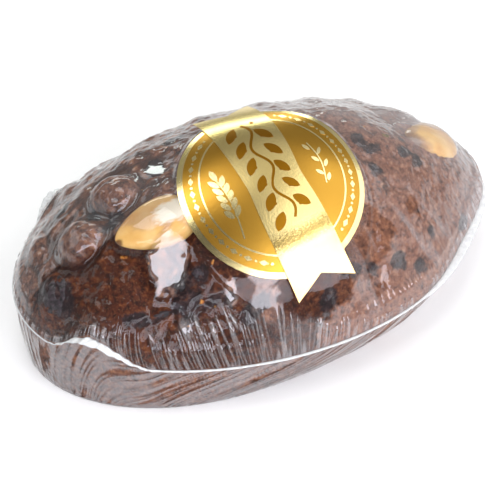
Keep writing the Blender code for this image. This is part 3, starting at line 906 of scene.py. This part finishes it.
def seam_length(angle):
    """Distance along the seam from +X to each angle."""
    fine = np.linspace(0.0, math.tau, 2881)
    x, y = plan_point(fine, 1.0)
    steps = np.hypot(np.diff(x), np.diff(y))
    return np.interp(angle % math.tau, fine, np.concatenate([[0.0], np.cumsum(steps)]))


def pleats(angle, off, slant):
    """Height of the gathered pleats at this distance off the seam, and how much they crest."""
    along = seam_length(angle)
    lines = np.stack([(along + slant * off) / PLEAT_WIDTH, off / PLEAT_LENGTH, 0.0 * off], axis=-1)
    wave = np.array([noise.noise(p) for p in lines.tolist()])
    broad = np.array([noise.noise(p) for p in (lines * (0.35, 0.2, 1.0) + 7.0).tolist()])
    crest = np.maximum(0.0, 1.0 - np.abs(wave) * PLEAT_SHARPNESS)
    front, right = window(angle, *PLEAT_FRONT_SPAN), window(angle, *PLEAT_RIGHT_SPAN)
    reach = 0.0035 + 0.0170 * front + 0.0030 * right
    reach = reach * (1.0 + 0.45 * broad)
    fade = 1.0 - smoothstep(off / reach, 0.60, 1.0)
    tip = 1.0 + 0.9 * np.exp(-(((off / reach - 0.72) / 0.15) ** 2))
    return crest * fade * tip, fade


def away_from_loaf(angle, rise):
    """Directions square to the loaf's side, with this much of an upward lean."""
    side = np.stack(
        [np.cos(angle) * HALF_WIDTH, np.sin(angle) * HALF_LENGTH, np.full_like(angle, rise)], axis=-1
    )
    return side / np.linalg.norm(side, axis=-1, keepdims=True)


def film_top_points(way, angle):
    """Points of the smooth loaf under the upper sheet, their normals, and the film's height and gap there."""
    flat = loaf_surface(way, angle)
    x, y, _ = flat.T
    normal = crown_normal(x, y)
    side = away_from_loaf(angle, 0.012)
    turn = smoothstep(way, 0.90, 1.0)[:, None]
    normal = normal * (1.0 - turn) + side * turn
    normal /= np.linalg.norm(normal, axis=-1, keepdims=True)
    height = read_grid(film_grid, x, y)
    return flat, normal, height, read_grid(gap_grid, x, y)


film_pieces = []
# the drawn crown
sheet, angle, share = polar_sheet("film_crown", 640, 88)
way = share * GATHER_WAY
flat, normal, height, gap = film_top_points(way, angle)
set_points(sheet, flat + normal * height[:, None] - (*PLAN_MIDDLE, 0.0))
veil = veil_at(flat, gap)
write_attribute(sheet, "veil", veil)
write_attribute(sheet, "milk_and_reflection", milk_and_reflection_at(flat, veil))
close_sheet()
film_pieces.append(sheet)

# the gathered strip above the seam
sheet, angle, share = polar_sheet("film_gather", 1900, 50)
angle = crowd_front(angle)
way = GATHER_WAY + share * (1.0 - GATHER_WAY)
flat, normal, height, gap = film_top_points(way, angle)
seam_x, seam_y = plan_point(angle, 1.0)
seam_z = seam_plane(seam_x, seam_y) + ear_rise(angle)
off = np.sqrt((flat[:, 0] - seam_x) ** 2 + (flat[:, 1] - seam_y) ** 2 + (flat[:, 2] - seam_z) ** 2)
crest, fade = pleats(angle, off, 0.5 * window(angle, -125.0, 40.0) - 0.3 * window(angle, -75.0, 40.0))
begun = smoothstep(way, GATHER_WAY, GATHER_WAY + 0.04)
lift = PLEAT_HEIGHT * crest * begun * smoothstep(off, 0.0, 0.0012)
height = height * (1.0 - 0.6 * fade * smoothstep(way, GATHER_WAY, GATHER_WAY + 0.06))
set_points(sheet, flat + normal * (height + lift)[:, None] - (*PLAN_MIDDLE, 0.0))
veil = veil_at(flat, gap)
milky = smoothstep((angle + math.pi) % math.tau - math.pi, math.radians(-114.0), math.radians(-94.0))
veil = np.clip(veil * (1.0 - fade) + fade * (0.05 + 0.20 * milky + 0.75 * crest), 0.0, 1.0)
write_attribute(sheet, "veil", veil)
# the pleats' crests get lit white as well: partly standing-off film, partly painted glints along them
milk_and_reflection = milk_and_reflection_at(flat, veil) * (1.0 - 0.5 * fade) + (0.08 * milky + 0.20 * crest) * fade
write_attribute(sheet, "milk_and_reflection", np.clip(milk_and_reflection, 0.0, MOST_MILK_AND_REFLECTION))
close_sheet()
film_pieces.append(sheet)

# the lower sheet, from the seam round the foot to the underside
sheet, angle, share = polar_sheet("film_underside", 1500, 54)
angle = crowd_front(angle)
way = np.interp(share, (0.0, 0.85, 1.0), (1.0, 2.0, 3.0))
flat = loaf_surface(way, angle)
seam_x, seam_y = plan_point(angle, 1.0)
off = np.maximum(0.0, seam_plane(seam_x, seam_y) + ear_rise(angle) - flat[:, 2]) * 1.1
slanted = seam_length(angle) + STREAK_SLANT * window(angle, *STREAK_SLANT_SPAN) * off
streaked = np.stack([slanted / STREAK_WIDTH, off / STREAK_LENGTH, 0.0 * off])
crest = np.array([noise.fractal(p, 1.0, 2.4, 2) for p in streaked.T.tolist()])
dense = smoothstep(noise_at(flat, 0.0130, 63.0, 2), -0.70, 0.05)
lift = STREAK_HEIGHT * crest * smoothstep(off, 0.0, 0.0012) * (way < 1.95)
set_points(sheet, flat + away_from_loaf(angle, 0.0) * lift[:, None] - (*PLAN_MIDDLE, 0.0))
bare = smoothstep(crest, 0.05, 0.22) * (0.30 + 0.70 * dense)
bare = bare * (1.0 - 0.7 * window(angle, *PLAIN_BACK_SPAN))
# the underside's lit white is partly the film's own haze and partly painted reflection of the white floor;
# the streaks break it
write_attribute(sheet, "veil", 0.50 - 0.48 * bare)
write_attribute(sheet, "milk_and_reflection", 0.25 - 0.25 * bare)
close_sheet()
film_pieces.append(sheet)

# Shrunk film is hard and glassy: the eye sees the bread through it, sharp white lamps on it, and a pale veil
# where its two faces and the air below them all mirror the room. The glossy layer mirrors the lamps; the lit
# white layer is partly the film's own haze and partly painted reflection of the room.
film, tree = new_material("shrunk_polyolefin_film")
place = add_node(tree, "TexCoord")
ripple = add_node(
    tree, "TexNoise", {"Vector": place.outputs["Object"], "Scale": 320.0, "Detail": 2.0, "Roughness": 0.4}
)
drawn = add_node(tree, "Bump", {"Height": ripple, "Strength": 0.07, "Distance": 0.0006})
veil = add_node(tree, "Attribute", attribute_name="veil")
mirror = add_node(tree, "Fresnel", {"IOR": 1.5, "Normal": drawn})
faces = add_node(tree, "Math", {0: veil.outputs["Fac"], 1: 1.75, 2: 0.30}, operation="MULTIPLY_ADD")
shine = add_node(tree, "Math", {0: mirror, 1: faces}, operation="MULTIPLY", use_clamp=True)
through = add_node(tree, "BsdfTransparent", {"Color": srgb("#FCFCFC")})
gloss = add_node(tree, "BsdfAnisotropic", {"Color": srgb("#FFFFFF"), "Roughness": 0.05, "Normal": drawn})
white = add_node(tree, "BsdfDiffuse", {"Color": srgb("#D6D2D2")})
# the attribute mixes in a lit white layer: partly the film's own haze, partly painted reflection of the room
milk_and_reflection = add_node(tree, "Attribute", attribute_name="milk_and_reflection")
haze = add_node(tree, "MixShader", {0: milk_and_reflection.outputs["Fac"], 1: through, 2: white})
glazed = add_node(tree, "MixShader", {0: shine, 1: haze, 2: gloss})
add_node(tree, "OutputMaterial", {"Surface": glazed})
for sheet in film_pieces:
    sheet.data.materials.append(film)
    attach(sheet, "root")
    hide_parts("film_wrapped_bread")

# ---- The weld. The two sheets are melted together round the left end, the front and the right end: a white
# line along the front, a crinkled flange at the right end and two crumpled ears at the bag's left corners.
FIN_FOLD = 0.0004
FIN_FRONT = 0.0006
FIN_FRONT_SPAN = (-95.0, 80.0)
FIN_RIGHT = 0.0026
FIN_RIGHT_SPAN = (-33.0, 32.0)
FIN_RIGHT_EVENNESS = 0.6
EAR_WIDTH = 0.0024
EAR_FRONT_REACH = 14.0
EAR_BACK_REACH = 12.0
WELD_THICKNESS = 0.0004


def fin_width(angle):
    ears = window(angle, EAR_FRONT, EAR_FRONT_REACH) + window(angle, EAR_BACK, EAR_BACK_REACH)
    front = FIN_FRONT * window(angle, *FIN_FRONT_SPAN)
    right = FIN_RIGHT * window(angle, *FIN_RIGHT_SPAN) ** FIN_RIGHT_EVENNESS
    return FIN_FOLD + front + right + EAR_WIDTH * ears


sheet, angle, share = polar_sheet("film_weld", 1400, 8)
turn = share * math.tau
reach = 0.5 * fin_width(angle) * (1.0 - np.cos(turn)) - 0.0002
x, y = edge_point(angle, reach)
seam_x, seam_y = plan_point(angle, 1.0)
z = seam_plane(seam_x, seam_y) + ear_rise(angle)
spots = np.stack([seam_length(angle), reach, np.zeros_like(reach)], axis=-1)
ears = window(angle, EAR_FRONT, 2.0 * EAR_FRONT_REACH) + window(angle, EAR_BACK, 2.0 * EAR_BACK_REACH)
crinkle = 0.14 * reach * noise_at(spots, 0.0060, 2.0, 2) + 0.0008 * ears * noise_at(spots, 0.0018, 6.0, 2)
z = z + 0.5 * WELD_THICKNESS * np.sin(turn) + crinkle
set_points(sheet, np.stack([x, y, z], axis=-1) - (*PLAN_MIDDLE, 0.0))
close_sheet()
# melted film cools full of small bubbles: the eye sees frosted white that lets a little through
melted, tree = new_material("melted_film_weld")
place = add_node(tree, "TexCoord")
fleck = add_node(tree, "TexNoise", {"Vector": place.outputs["Object"], "Scale": 420.0, "Detail": 3.0})
dense = add_node(
    tree,
    "MapRange",
    {"Value": fleck, "From Min": 0.38, "From Max": 0.6, "To Min": 0.62, "To Max": 0.84},
    clamp=True,
)
frost = add_node(tree, "BsdfPrincipled", {"Base Color": srgb("#F0F2F2"), "Roughness": 0.25, "Alpha": dense})
add_node(tree, "OutputMaterial", {"Surface": frost})
sheet.data.materials.append(melted)
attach(sheet, "root")

# ---- The seal. A die-cut sticker of gold foil paper: a disc with a pale rim and a darker lacquered field,
# crossed by a satin band whose swallow tails stand past the disc. It lies on the film and follows the crown.
SEAL_GAP = 0.0004
RIM_WIDTH = 0.0017
LINE_RADIUS = 0.0208
LINE_WIDTH = 0.0005
BAND_WIDTH = 0.0164
BAND_HALF_LENGTH = 0.0325
BAND_NOTCH = 0.0045
BAND_HEADING = math.radians(-81.0)
BAND_BEND = math.radians(-4.0)
TAIL_LIFT = 0.0011
TAIL_LIFT_START = 0.85 * SEAL_RADIUS
FOIL = 0.00010
FIELD_LIFT = FOIL + 0.00003
LINE_LIFT = FOIL + 0.00009
BAND_LIFT = FOIL + 0.00014
BAND_THICKNESS = 0.00008
LACQUER = 0.00004
FOLD_PLACE = 0.0165  # where the band bends down over the crown's front, and its foil is crazed
FOLD_REACH = 0.0052
LAY_STEPS = 14


def lay_on_crown(along, across, lift):
    """Lays flat points, measured along and across the band from the seal's middle, over the crown."""
    distance = np.hypot(along, across)
    turn = np.arctan2(across, along)
    heading = BAND_HEADING + turn + BAND_BEND * 0.5 * (1.0 - np.cos(turn))
    point = on_crown(np.full_like(along, SEAL_MIDDLE[0]), np.full_like(along, SEAL_MIDDLE[1]))
    normal = crown_normal(point[:, 0], point[:, 1])
    ahead = np.stack([np.cos(heading), np.sin(heading), np.zeros_like(heading)], axis=-1)
    for step in range(LAY_STEPS + 1):
        ahead = ahead - normal * np.sum(ahead * normal, axis=-1, keepdims=True)
        ahead /= np.linalg.norm(ahead, axis=-1, keepdims=True)
        if step < LAY_STEPS:
            point = point + ahead * (distance / LAY_STEPS)[:, None]
            point[:, 2] = crown(point[:, 0], point[:, 1])
            normal = crown_normal(point[:, 0], point[:, 1])
    past = np.maximum(0.0, distance - TAIL_LIFT_START) / (BAND_HALF_LENGTH - TAIL_LIFT_START)
    in_tail = (np.abs(across) < 0.5 * BAND_WIDTH + SLOPE_STEP) & (along > 0.0)
    lift = lift + SEAL_GAP + np.where(in_tail, TAIL_LIFT * past**2, 0.0)
    return point + normal * lift[:, None]


def lay_piece(piece, lift):
    """Lays a piece drawn flat, X along the band and Y across it, onto the crown."""
    flat = points_of(piece)
    laid = lay_on_crown(flat[:, 0], flat[:, 1], flat[:, 2] + lift)
    set_points(piece, laid - (*PLAN_MIDDLE, 0.0))


def finish_foil(piece, material, replaced=()):
    piece.data.materials.append(material)
    piece.select_set(True)
    bpy.context.view_layer.objects.active = piece
    bpy.ops.object.shade_smooth_by_angle(angle=math.radians(40.0))
    piece.select_set(False)
    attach(piece, "root")
    for node_name in replaced:
        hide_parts(node_name)


def foil_material(name, light, dark, roughness, orange_peel):
    """Metallised paper: warm metal with a faint orange-peel, lacquered in the given colours."""
    made, tree = new_material(name)
    place = add_node(tree, "TexCoord")
    peel = add_node(tree, "TexNoise", {"Vector": place.outputs["Object"], "Scale": 1500.0, "Detail": 2.0})
    sweep = add_node(tree, "TexNoise", {"Vector": place.outputs["Object"], "Scale": 45.0, "Detail": 2.0})
    colour = add_node(tree, "Mix", {0: sweep, 6: srgb(dark), 7: srgb(light)}, data_type="RGBA")
    bump = add_node(tree, "Bump", {"Height": peel, "Strength": orange_peel, "Distance": 0.0002})
    worn = add_node(tree, "Attribute", attribute_name="crease")
    grain = add_node(tree, "TexNoise", {"Vector": place.outputs["Object"], "Scale": 3200.0, "Detail": 2.0})
    crazed = add_node(tree, "Math", {0: worn.outputs["Fac"], 1: grain}, operation="MULTIPLY")
    crazing = add_node(
        tree, "MapRange", {"Value": crazed, "From Min": 0.20, "From Max": 0.46, "To Max": 0.85}, clamp=True
    )
    creased = add_node(tree, "Mix", {0: crazing, 6: colour.outputs[2], 7: srgb("#7A6226")}, data_type="RGBA")
    body = add_node(
        tree,
        "BsdfPrincipled",
        {
            "Base Color": creased.outputs[2],
            "Metallic": 1.0,
            "Roughness": roughness,
            "Normal": bump,
        },
    )
    add_node(tree, "OutputMaterial", {"Surface": body})
    return made


# Foil under thin lacquer: the eye sees bright blurred lamps in pale gold on the rim, a deeper and softer gold
# on the printed field, a satin sheen on the band, and brown gold where ink covers the metal.
pale_foil = foil_material("pale_gold_foil", "#F6E6AE", "#EAD28A", 0.22, 0.06)
field_foil = foil_material("lacquered_gold_foil", "#C89A3C", "#A87A2E", 0.32, 0.12)
band_foil = foil_material("satin_gold_foil", "#F0DA9C", "#D8BE74", 0.24, 0.12)
ink_foil = foil_material("dark_gold_print", "#A0701C", "#86590F", 0.35, 0.1)


def flat_disc(name, radius, inner=0.0, rings=16):
    """A flat ring or disc in the seal's own plane, with rings of faces so that it can follow the crown."""
    bpy.ops.mesh.primitive_grid_add(x_subdivisions=180, y_subdivisions=rings, size=2.0)
    disc = bpy.context.object
    disc.name = name
    flat = points_of(disc)
    turn = (flat[:, 0] + 1.0) * math.pi
    reach = inner + (radius - inner) * 0.5 * (flat[:, 1] + 1.0)
    set_points(disc, np.stack([reach * np.cos(turn), reach * np.sin(turn), np.zeros_like(turn)], axis=-1))
    bpy.ops.object.mode_set(mode="EDIT")
    bpy.ops.mesh.select_all(action="SELECT")
    bpy.ops.mesh.remove_doubles(threshold=0.000002)
    bpy.ops.object.mode_set(mode="OBJECT")
    bpy.ops.object.select_all(action="DESELECT")
    return disc


def give_thickness(piece, thickness):
    piece.select_set(True)
    bpy.context.view_layer.objects.active = piece
    wall = piece.modifiers.new("thickness", "SOLIDIFY")
    wall.thickness = thickness
    wall.offset = 1.0
    bpy.ops.object.modifier_apply(modifier=wall.name)
    piece.select_set(False)


def foil_ring(name, radius, lift, thickness, material, replaced=(), **cut):
    """A disc or ring of foil, laid on the crown."""
    ring = flat_disc(name, radius, **cut)
    lay_piece(ring, lift)
    give_thickness(ring, thickness)
    finish_foil(ring, material, replaced)


foil_ring("seal_disc", SEAL_RADIUS, -FOIL, 2.0 * FOIL, pale_foil, ["gold_seal"])
foil_ring("seal_field", SEAL_RADIUS - RIM_WIDTH, FIELD_LIFT, LACQUER, field_foil)
line_inside = LINE_RADIUS - 0.5 * LINE_WIDTH
foil_ring(
    "seal_line", LINE_RADIUS + 0.5 * LINE_WIDTH, LINE_LIFT, LACQUER, pale_foil, inner=line_inside, rings=2
)

bpy.ops.mesh.primitive_grid_add(x_subdivisions=120, y_subdivisions=24, size=2.0)
band = bpy.context.object
band.name = "seal_band"
flat = points_of(band)
side = np.abs(flat[:, 1])
end = BAND_HALF_LENGTH - BAND_NOTCH * (1.0 - side)
set_points(
    band, np.stack([flat[:, 0] * end, flat[:, 1] * 0.5 * BAND_WIDTH, np.zeros_like(side)], axis=-1)
)
bpy.ops.object.select_all(action="DESELECT")
write_attribute(band, "crease", np.clip(1.0 - np.abs(flat[:, 0] * end - FOLD_PLACE) / FOLD_REACH, 0.0, 1.0))
lay_piece(band, BAND_LIFT)
give_thickness(band, BAND_THICKNESS)
finish_foil(band, band_foil, ["gold_seal"])

# ---- The seal's print. Plain ornament in bare and dark foil: lozenges and dots round the ring, an ear of
# corn and a sprig in the field, and a leafy vine along the band.
MARKS_LIFT = FOIL + 0.00009
VINE_LIFT = FOIL + 0.00023


def flat_mark(name, corners, place, size, heading=0.0):
    """A small flat shape in the seal's plane: a dot, a lozenge, or with no corners a two-pointed leaf."""
    if corners:
        bpy.ops.mesh.primitive_circle_add(vertices=corners, radius=1.0, fill_type="NGON")
    else:
        bpy.ops.mesh.primitive_grid_add(x_subdivisions=12, y_subdivisions=4, size=2.0)
    mark = bpy.context.object
    mark.name = name
    flat = points_of(mark)
    if corners:
        flat = flat[:, [1, 0, 2]]
    else:
        flat[:, 1] *= (1.0 - np.minimum(1.0, flat[:, 0] ** 2)) ** 0.8
    turn = math.radians(heading)
    x = flat[:, 0] * 0.5 * size[0]
    y = flat[:, 1] * 0.5 * size[1]
    turned = (x * math.cos(turn) - y * math.sin(turn), x * math.sin(turn) + y * math.cos(turn))
    set_points(mark, np.stack([turned[0] + place[0], turned[1] + place[1], 0.0 * x], axis=-1))
    return mark


def flat_line(name, path, width, steps=60):
    """A thin line of print in the seal's plane along a path from 0 to 1."""
    bpy.ops.mesh.primitive_grid_add(x_subdivisions=steps, y_subdivisions=1, size=2.0)
    mark = bpy.context.object
    mark.name = name
    flat = points_of(mark)
    share = 0.5 * (flat[:, 0] + 1.0)
    here, there = path(share), path(share + 0.001)
    run = np.stack([there[0] - here[0], there[1] - here[1]], axis=-1)
    run /= np.linalg.norm(run, axis=-1, keepdims=True)
    out = 0.5 * width * flat[:, 1]
    set_points(mark, np.stack([here[0] - run[:, 1] * out, here[1] + run[:, 0] * out, 0.0 * out], axis=-1))
    return mark


def lay_marks(marks, name, lift, material):
    whole = join_pieces(marks, name)
    bpy.ops.object.mode_set(mode="EDIT")
    bpy.ops.mesh.select_all(action="SELECT")
    bpy.ops.mesh.normals_make_consistent(inside=False)
    bpy.ops.object.mode_set(mode="OBJECT")
    bpy.ops.object.select_all(action="DESELECT")
    lay_piece(whole, lift)
    give_thickness(whole, LACQUER)
    finish_foil(whole, material)


RING_RADIUS = 0.0231
RING_MARKS = 34
LOZENGE_CLEARANCE = 0.0012
DOT_CLEARANCE = 0.0010
marks = []
for i in range(RING_MARKS):
    turn = math.tau * i / RING_MARKS
    across = RING_RADIUS * math.sin(turn)
    if abs(across) > 0.5 * BAND_WIDTH + LOZENGE_CLEARANCE:
        at = (RING_RADIUS * math.cos(turn), across)
        marks.append(flat_mark("lozenge", 4, at, (0.0026, 0.0015), math.degrees(turn) + 90.0))
    turn += math.pi / RING_MARKS
    across = RING_RADIUS * math.sin(turn)
    if abs(across) > 0.5 * BAND_WIDTH + DOT_CLEARANCE:
        at = (RING_RADIUS * math.cos(turn), across)
        marks.append(flat_mark("dot", 10, at, (0.0008, 0.0008)))
# the ear of corn lies left of the band, and a sprig right of it
CORN_MIDDLE = -0.0145
SPRIG_MIDDLE = 0.0138
SPRIG_SWAY = 0.0016
PRINT_LINE = 0.0004
for side in (-1.0, 1.0):
    for i in range(5):
        at = (-0.0062 + 0.0026 * i, CORN_MIDDLE + side * 0.0013)
        marks.append(flat_mark("grain", 0, at, (0.0038, 0.0017), 180.0 - side * 32.0))
marks.append(flat_mark("grain", 0, (-0.0088, CORN_MIDDLE), (0.0040, 0.0018), 0.0))
for line_name, start, length, middle, sway, turns in (
    ("stalk", -0.0070, 0.0190, CORN_MIDDLE, 0.0006, 3.0),
    ("sprig", -0.0080, 0.0150, SPRIG_MIDDLE, SPRIG_SWAY, 3.4),
):
    marks.append(
        flat_line(line_name, lambda t: (start + length * t, middle + sway * np.sin(turns * t)), PRINT_LINE)
    )
for i in range(6):
    side = 1.0 if i % 2 else -1.0
    sway = SPRIG_SWAY * math.sin(3.4 * (i + 0.5) / 6.0)
    at = (-0.0066 + 0.0024 * i, SPRIG_MIDDLE + sway + side * 0.0013)
    marks.append(flat_mark("leaflet", 0, at, (0.0030, 0.0012), 180.0 - side * 35.0))
lay_marks(marks, "seal_marks", MARKS_LIFT, pale_foil)

VINE_START = -0.0200
VINE_END = 0.0115
VINE_LEAVES = 11
marks = [
    flat_line(
        "stem",
        lambda t: (VINE_START + (VINE_END - VINE_START) * t, 0.0013 * np.sin(5.0 * math.pi * t)),
        0.0007,
        90,
    )
]
for i in range(VINE_LEAVES):
    share = (i + 0.5) / VINE_LEAVES
    side = 1.0 if i % 2 else -1.0
    along = VINE_START + (VINE_END - VINE_START) * share
    lean = 38.0 * side
    marks.append(flat_mark("leaf", 0, (along + 0.0010, side * 0.0038), (0.0056, 0.0026), lean))
    marks.append(flat_mark("berry", 10, (along - 0.0012, -side * 0.0030), (0.0011, 0.0011)))
lay_marks(marks, "seal_vine", VINE_LIFT, ink_foil)

# ---- The stage. A white studio floor, soft boxes and the camera, which looks down on the loaf's front left.
CAMERA_AZIMUTH = math.radians(-24.17)
CAMERA_ELEVATION = math.radians(42.0)
CAMERA_DISTANCE = 0.6
LOOK_AT = np.array([-PLAN_MIDDLE[0], -PLAN_MIDDLE[1], 0.024])
CAMERA_LENS = 148.2
CAMERA_SHIFT = (-0.0130, -0.0476)
FLOOR_SIZE = 6.0
BOX_DISTANCE = 1.6

back = np.array(
    [
        math.sin(CAMERA_AZIMUTH) * math.cos(CAMERA_ELEVATION),
        -math.cos(CAMERA_AZIMUTH) * math.cos(CAMERA_ELEVATION),
        math.sin(CAMERA_ELEVATION),
    ]
)
bpy.ops.object.camera_add(
    location=LOOK_AT + back * CAMERA_DISTANCE,
    rotation=(0.5 * math.pi - CAMERA_ELEVATION, 0.0, CAMERA_AZIMUTH),
)
camera = bpy.context.object
camera.data.lens = CAMERA_LENS
camera.data.shift_x, camera.data.shift_y = CAMERA_SHIFT
bpy.context.scene.camera = camera
bpy.context.scene.view_settings.view_transform = "Standard"

bpy.ops.mesh.primitive_plane_add(size=FLOOR_SIZE, location=(0.0, 0.0, 0.0))
floor = bpy.context.object
floor.name = "studio_floor"
# white paper, lit until it burns out and only the loaf's soft shadow is left
white, tree = new_material("matt_white_floor")
lit = add_node(tree, "BsdfDiffuse", {"Color": srgb("#EEEEEE")})
glow = add_node(tree, "Emission", {"Color": srgb("#FFFFFF"), "Strength": 0.17})
both = add_node(tree, "AddShader", {0: lit, 1: glow})
add_node(tree, "OutputMaterial", {"Surface": both})
floor.data.materials.append(white)


def soft_box(name, azimuth, elevation, across, tall, radiance, colour="#FFFFFF"):
    """A lamp that faces the loaf: azimuth 0 is the front and 90 the right, across and tall are in degrees."""
    turn, rise = math.radians(azimuth), math.radians(elevation)
    direction = np.array([math.sin(turn) * math.cos(rise), -math.cos(turn) * math.cos(rise), math.sin(rise)])
    bpy.ops.object.light_add(
        type="AREA", location=direction * BOX_DISTANCE, rotation=(0.5 * math.pi - rise, 0.0, turn)
    )
    lamp = bpy.context.object
    lamp.name = name
    lamp.data.shape = "RECTANGLE"
    lamp.data.size = 2.0 * BOX_DISTANCE * math.tan(math.radians(0.5 * across))
    lamp.data.size_y = 2.0 * BOX_DISTANCE * math.tan(math.radians(0.5 * tall))
    lamp.data.energy = 4.0 * radiance * lamp.data.size * lamp.data.size_y
    lamp.data.color = srgb(colour)[:3]


soft_box("soft_box_front", -3.0, 24.0, 74.0, 18.0, 5.6, "#F4F4FF")
soft_box("soft_box_back", 162.0, 25.0, 44.0, 12.0, 4.2, "#F6FFFA")
soft_box("soft_box_tail", 28.0, 36.0, 20.0, 5.0, 5.0)
soft_box("soft_box_above", -75.0, 77.0, 30.0, 30.0, 3.4)
soft_box("soft_box_right", 60.0, 42.0, 48.0, 34.0, 1.1)
soft_box("soft_box_left", -122.0, 34.0, 40.0, 22.0, 1.5)
# a grey tent all round, with a dark panel above the camera and a bright one up to the right
TENT_PANELS = (  # direction, the outer and inner edge in degrees, and how bright it is against the tent
    ((-0.38, -0.44, 0.82), 34.0, 20.0, 0.15),
    ((0.50, -0.32, 0.80), 44.0, 12.0, 3.0),
)
world = bpy.data.worlds.new("studio")
bpy.context.scene.world = world
world.use_nodes = True
tree = world.node_tree
tree.nodes.clear()
place = add_node(tree, "TexCoord")
toward = place.outputs["Generated"]
height = add_node(tree, "SeparateXYZ", {"Vector": toward})
sweep = add_node(tree, "Math", {0: height, 1: height.outputs["Y"]}, operation="ADD")
level = add_node(
    tree,
    "MapRange",
    {"Value": sweep, "From Min": -0.9, "From Max": 0.5, "To Min": 0.09, "To Max": 0.28},
    clamp=True,
)
for direction, outer, inner, brightness in TENT_PANELS:
    near = add_node(tree, "VectorMath", {0: toward, 1: direction}, operation="DOT_PRODUCT")
    dim = add_node(
        tree,
        "MapRange",
        {
            "Value": near.outputs["Value"],
            "From Min": math.cos(math.radians(outer)),
            "From Max": math.cos(math.radians(inner)),
            "To Min": 1.0,
            "To Max": brightness,
        },
        clamp=True,
    )
    level = add_node(tree, "Math", {0: level, 1: dim}, operation="MULTIPLY")
sky = add_node(tree, "Background", {"Color": srgb("#FFFFFF"), "Strength": level})
add_node(tree, "OutputWorld", {"Surface": sky})
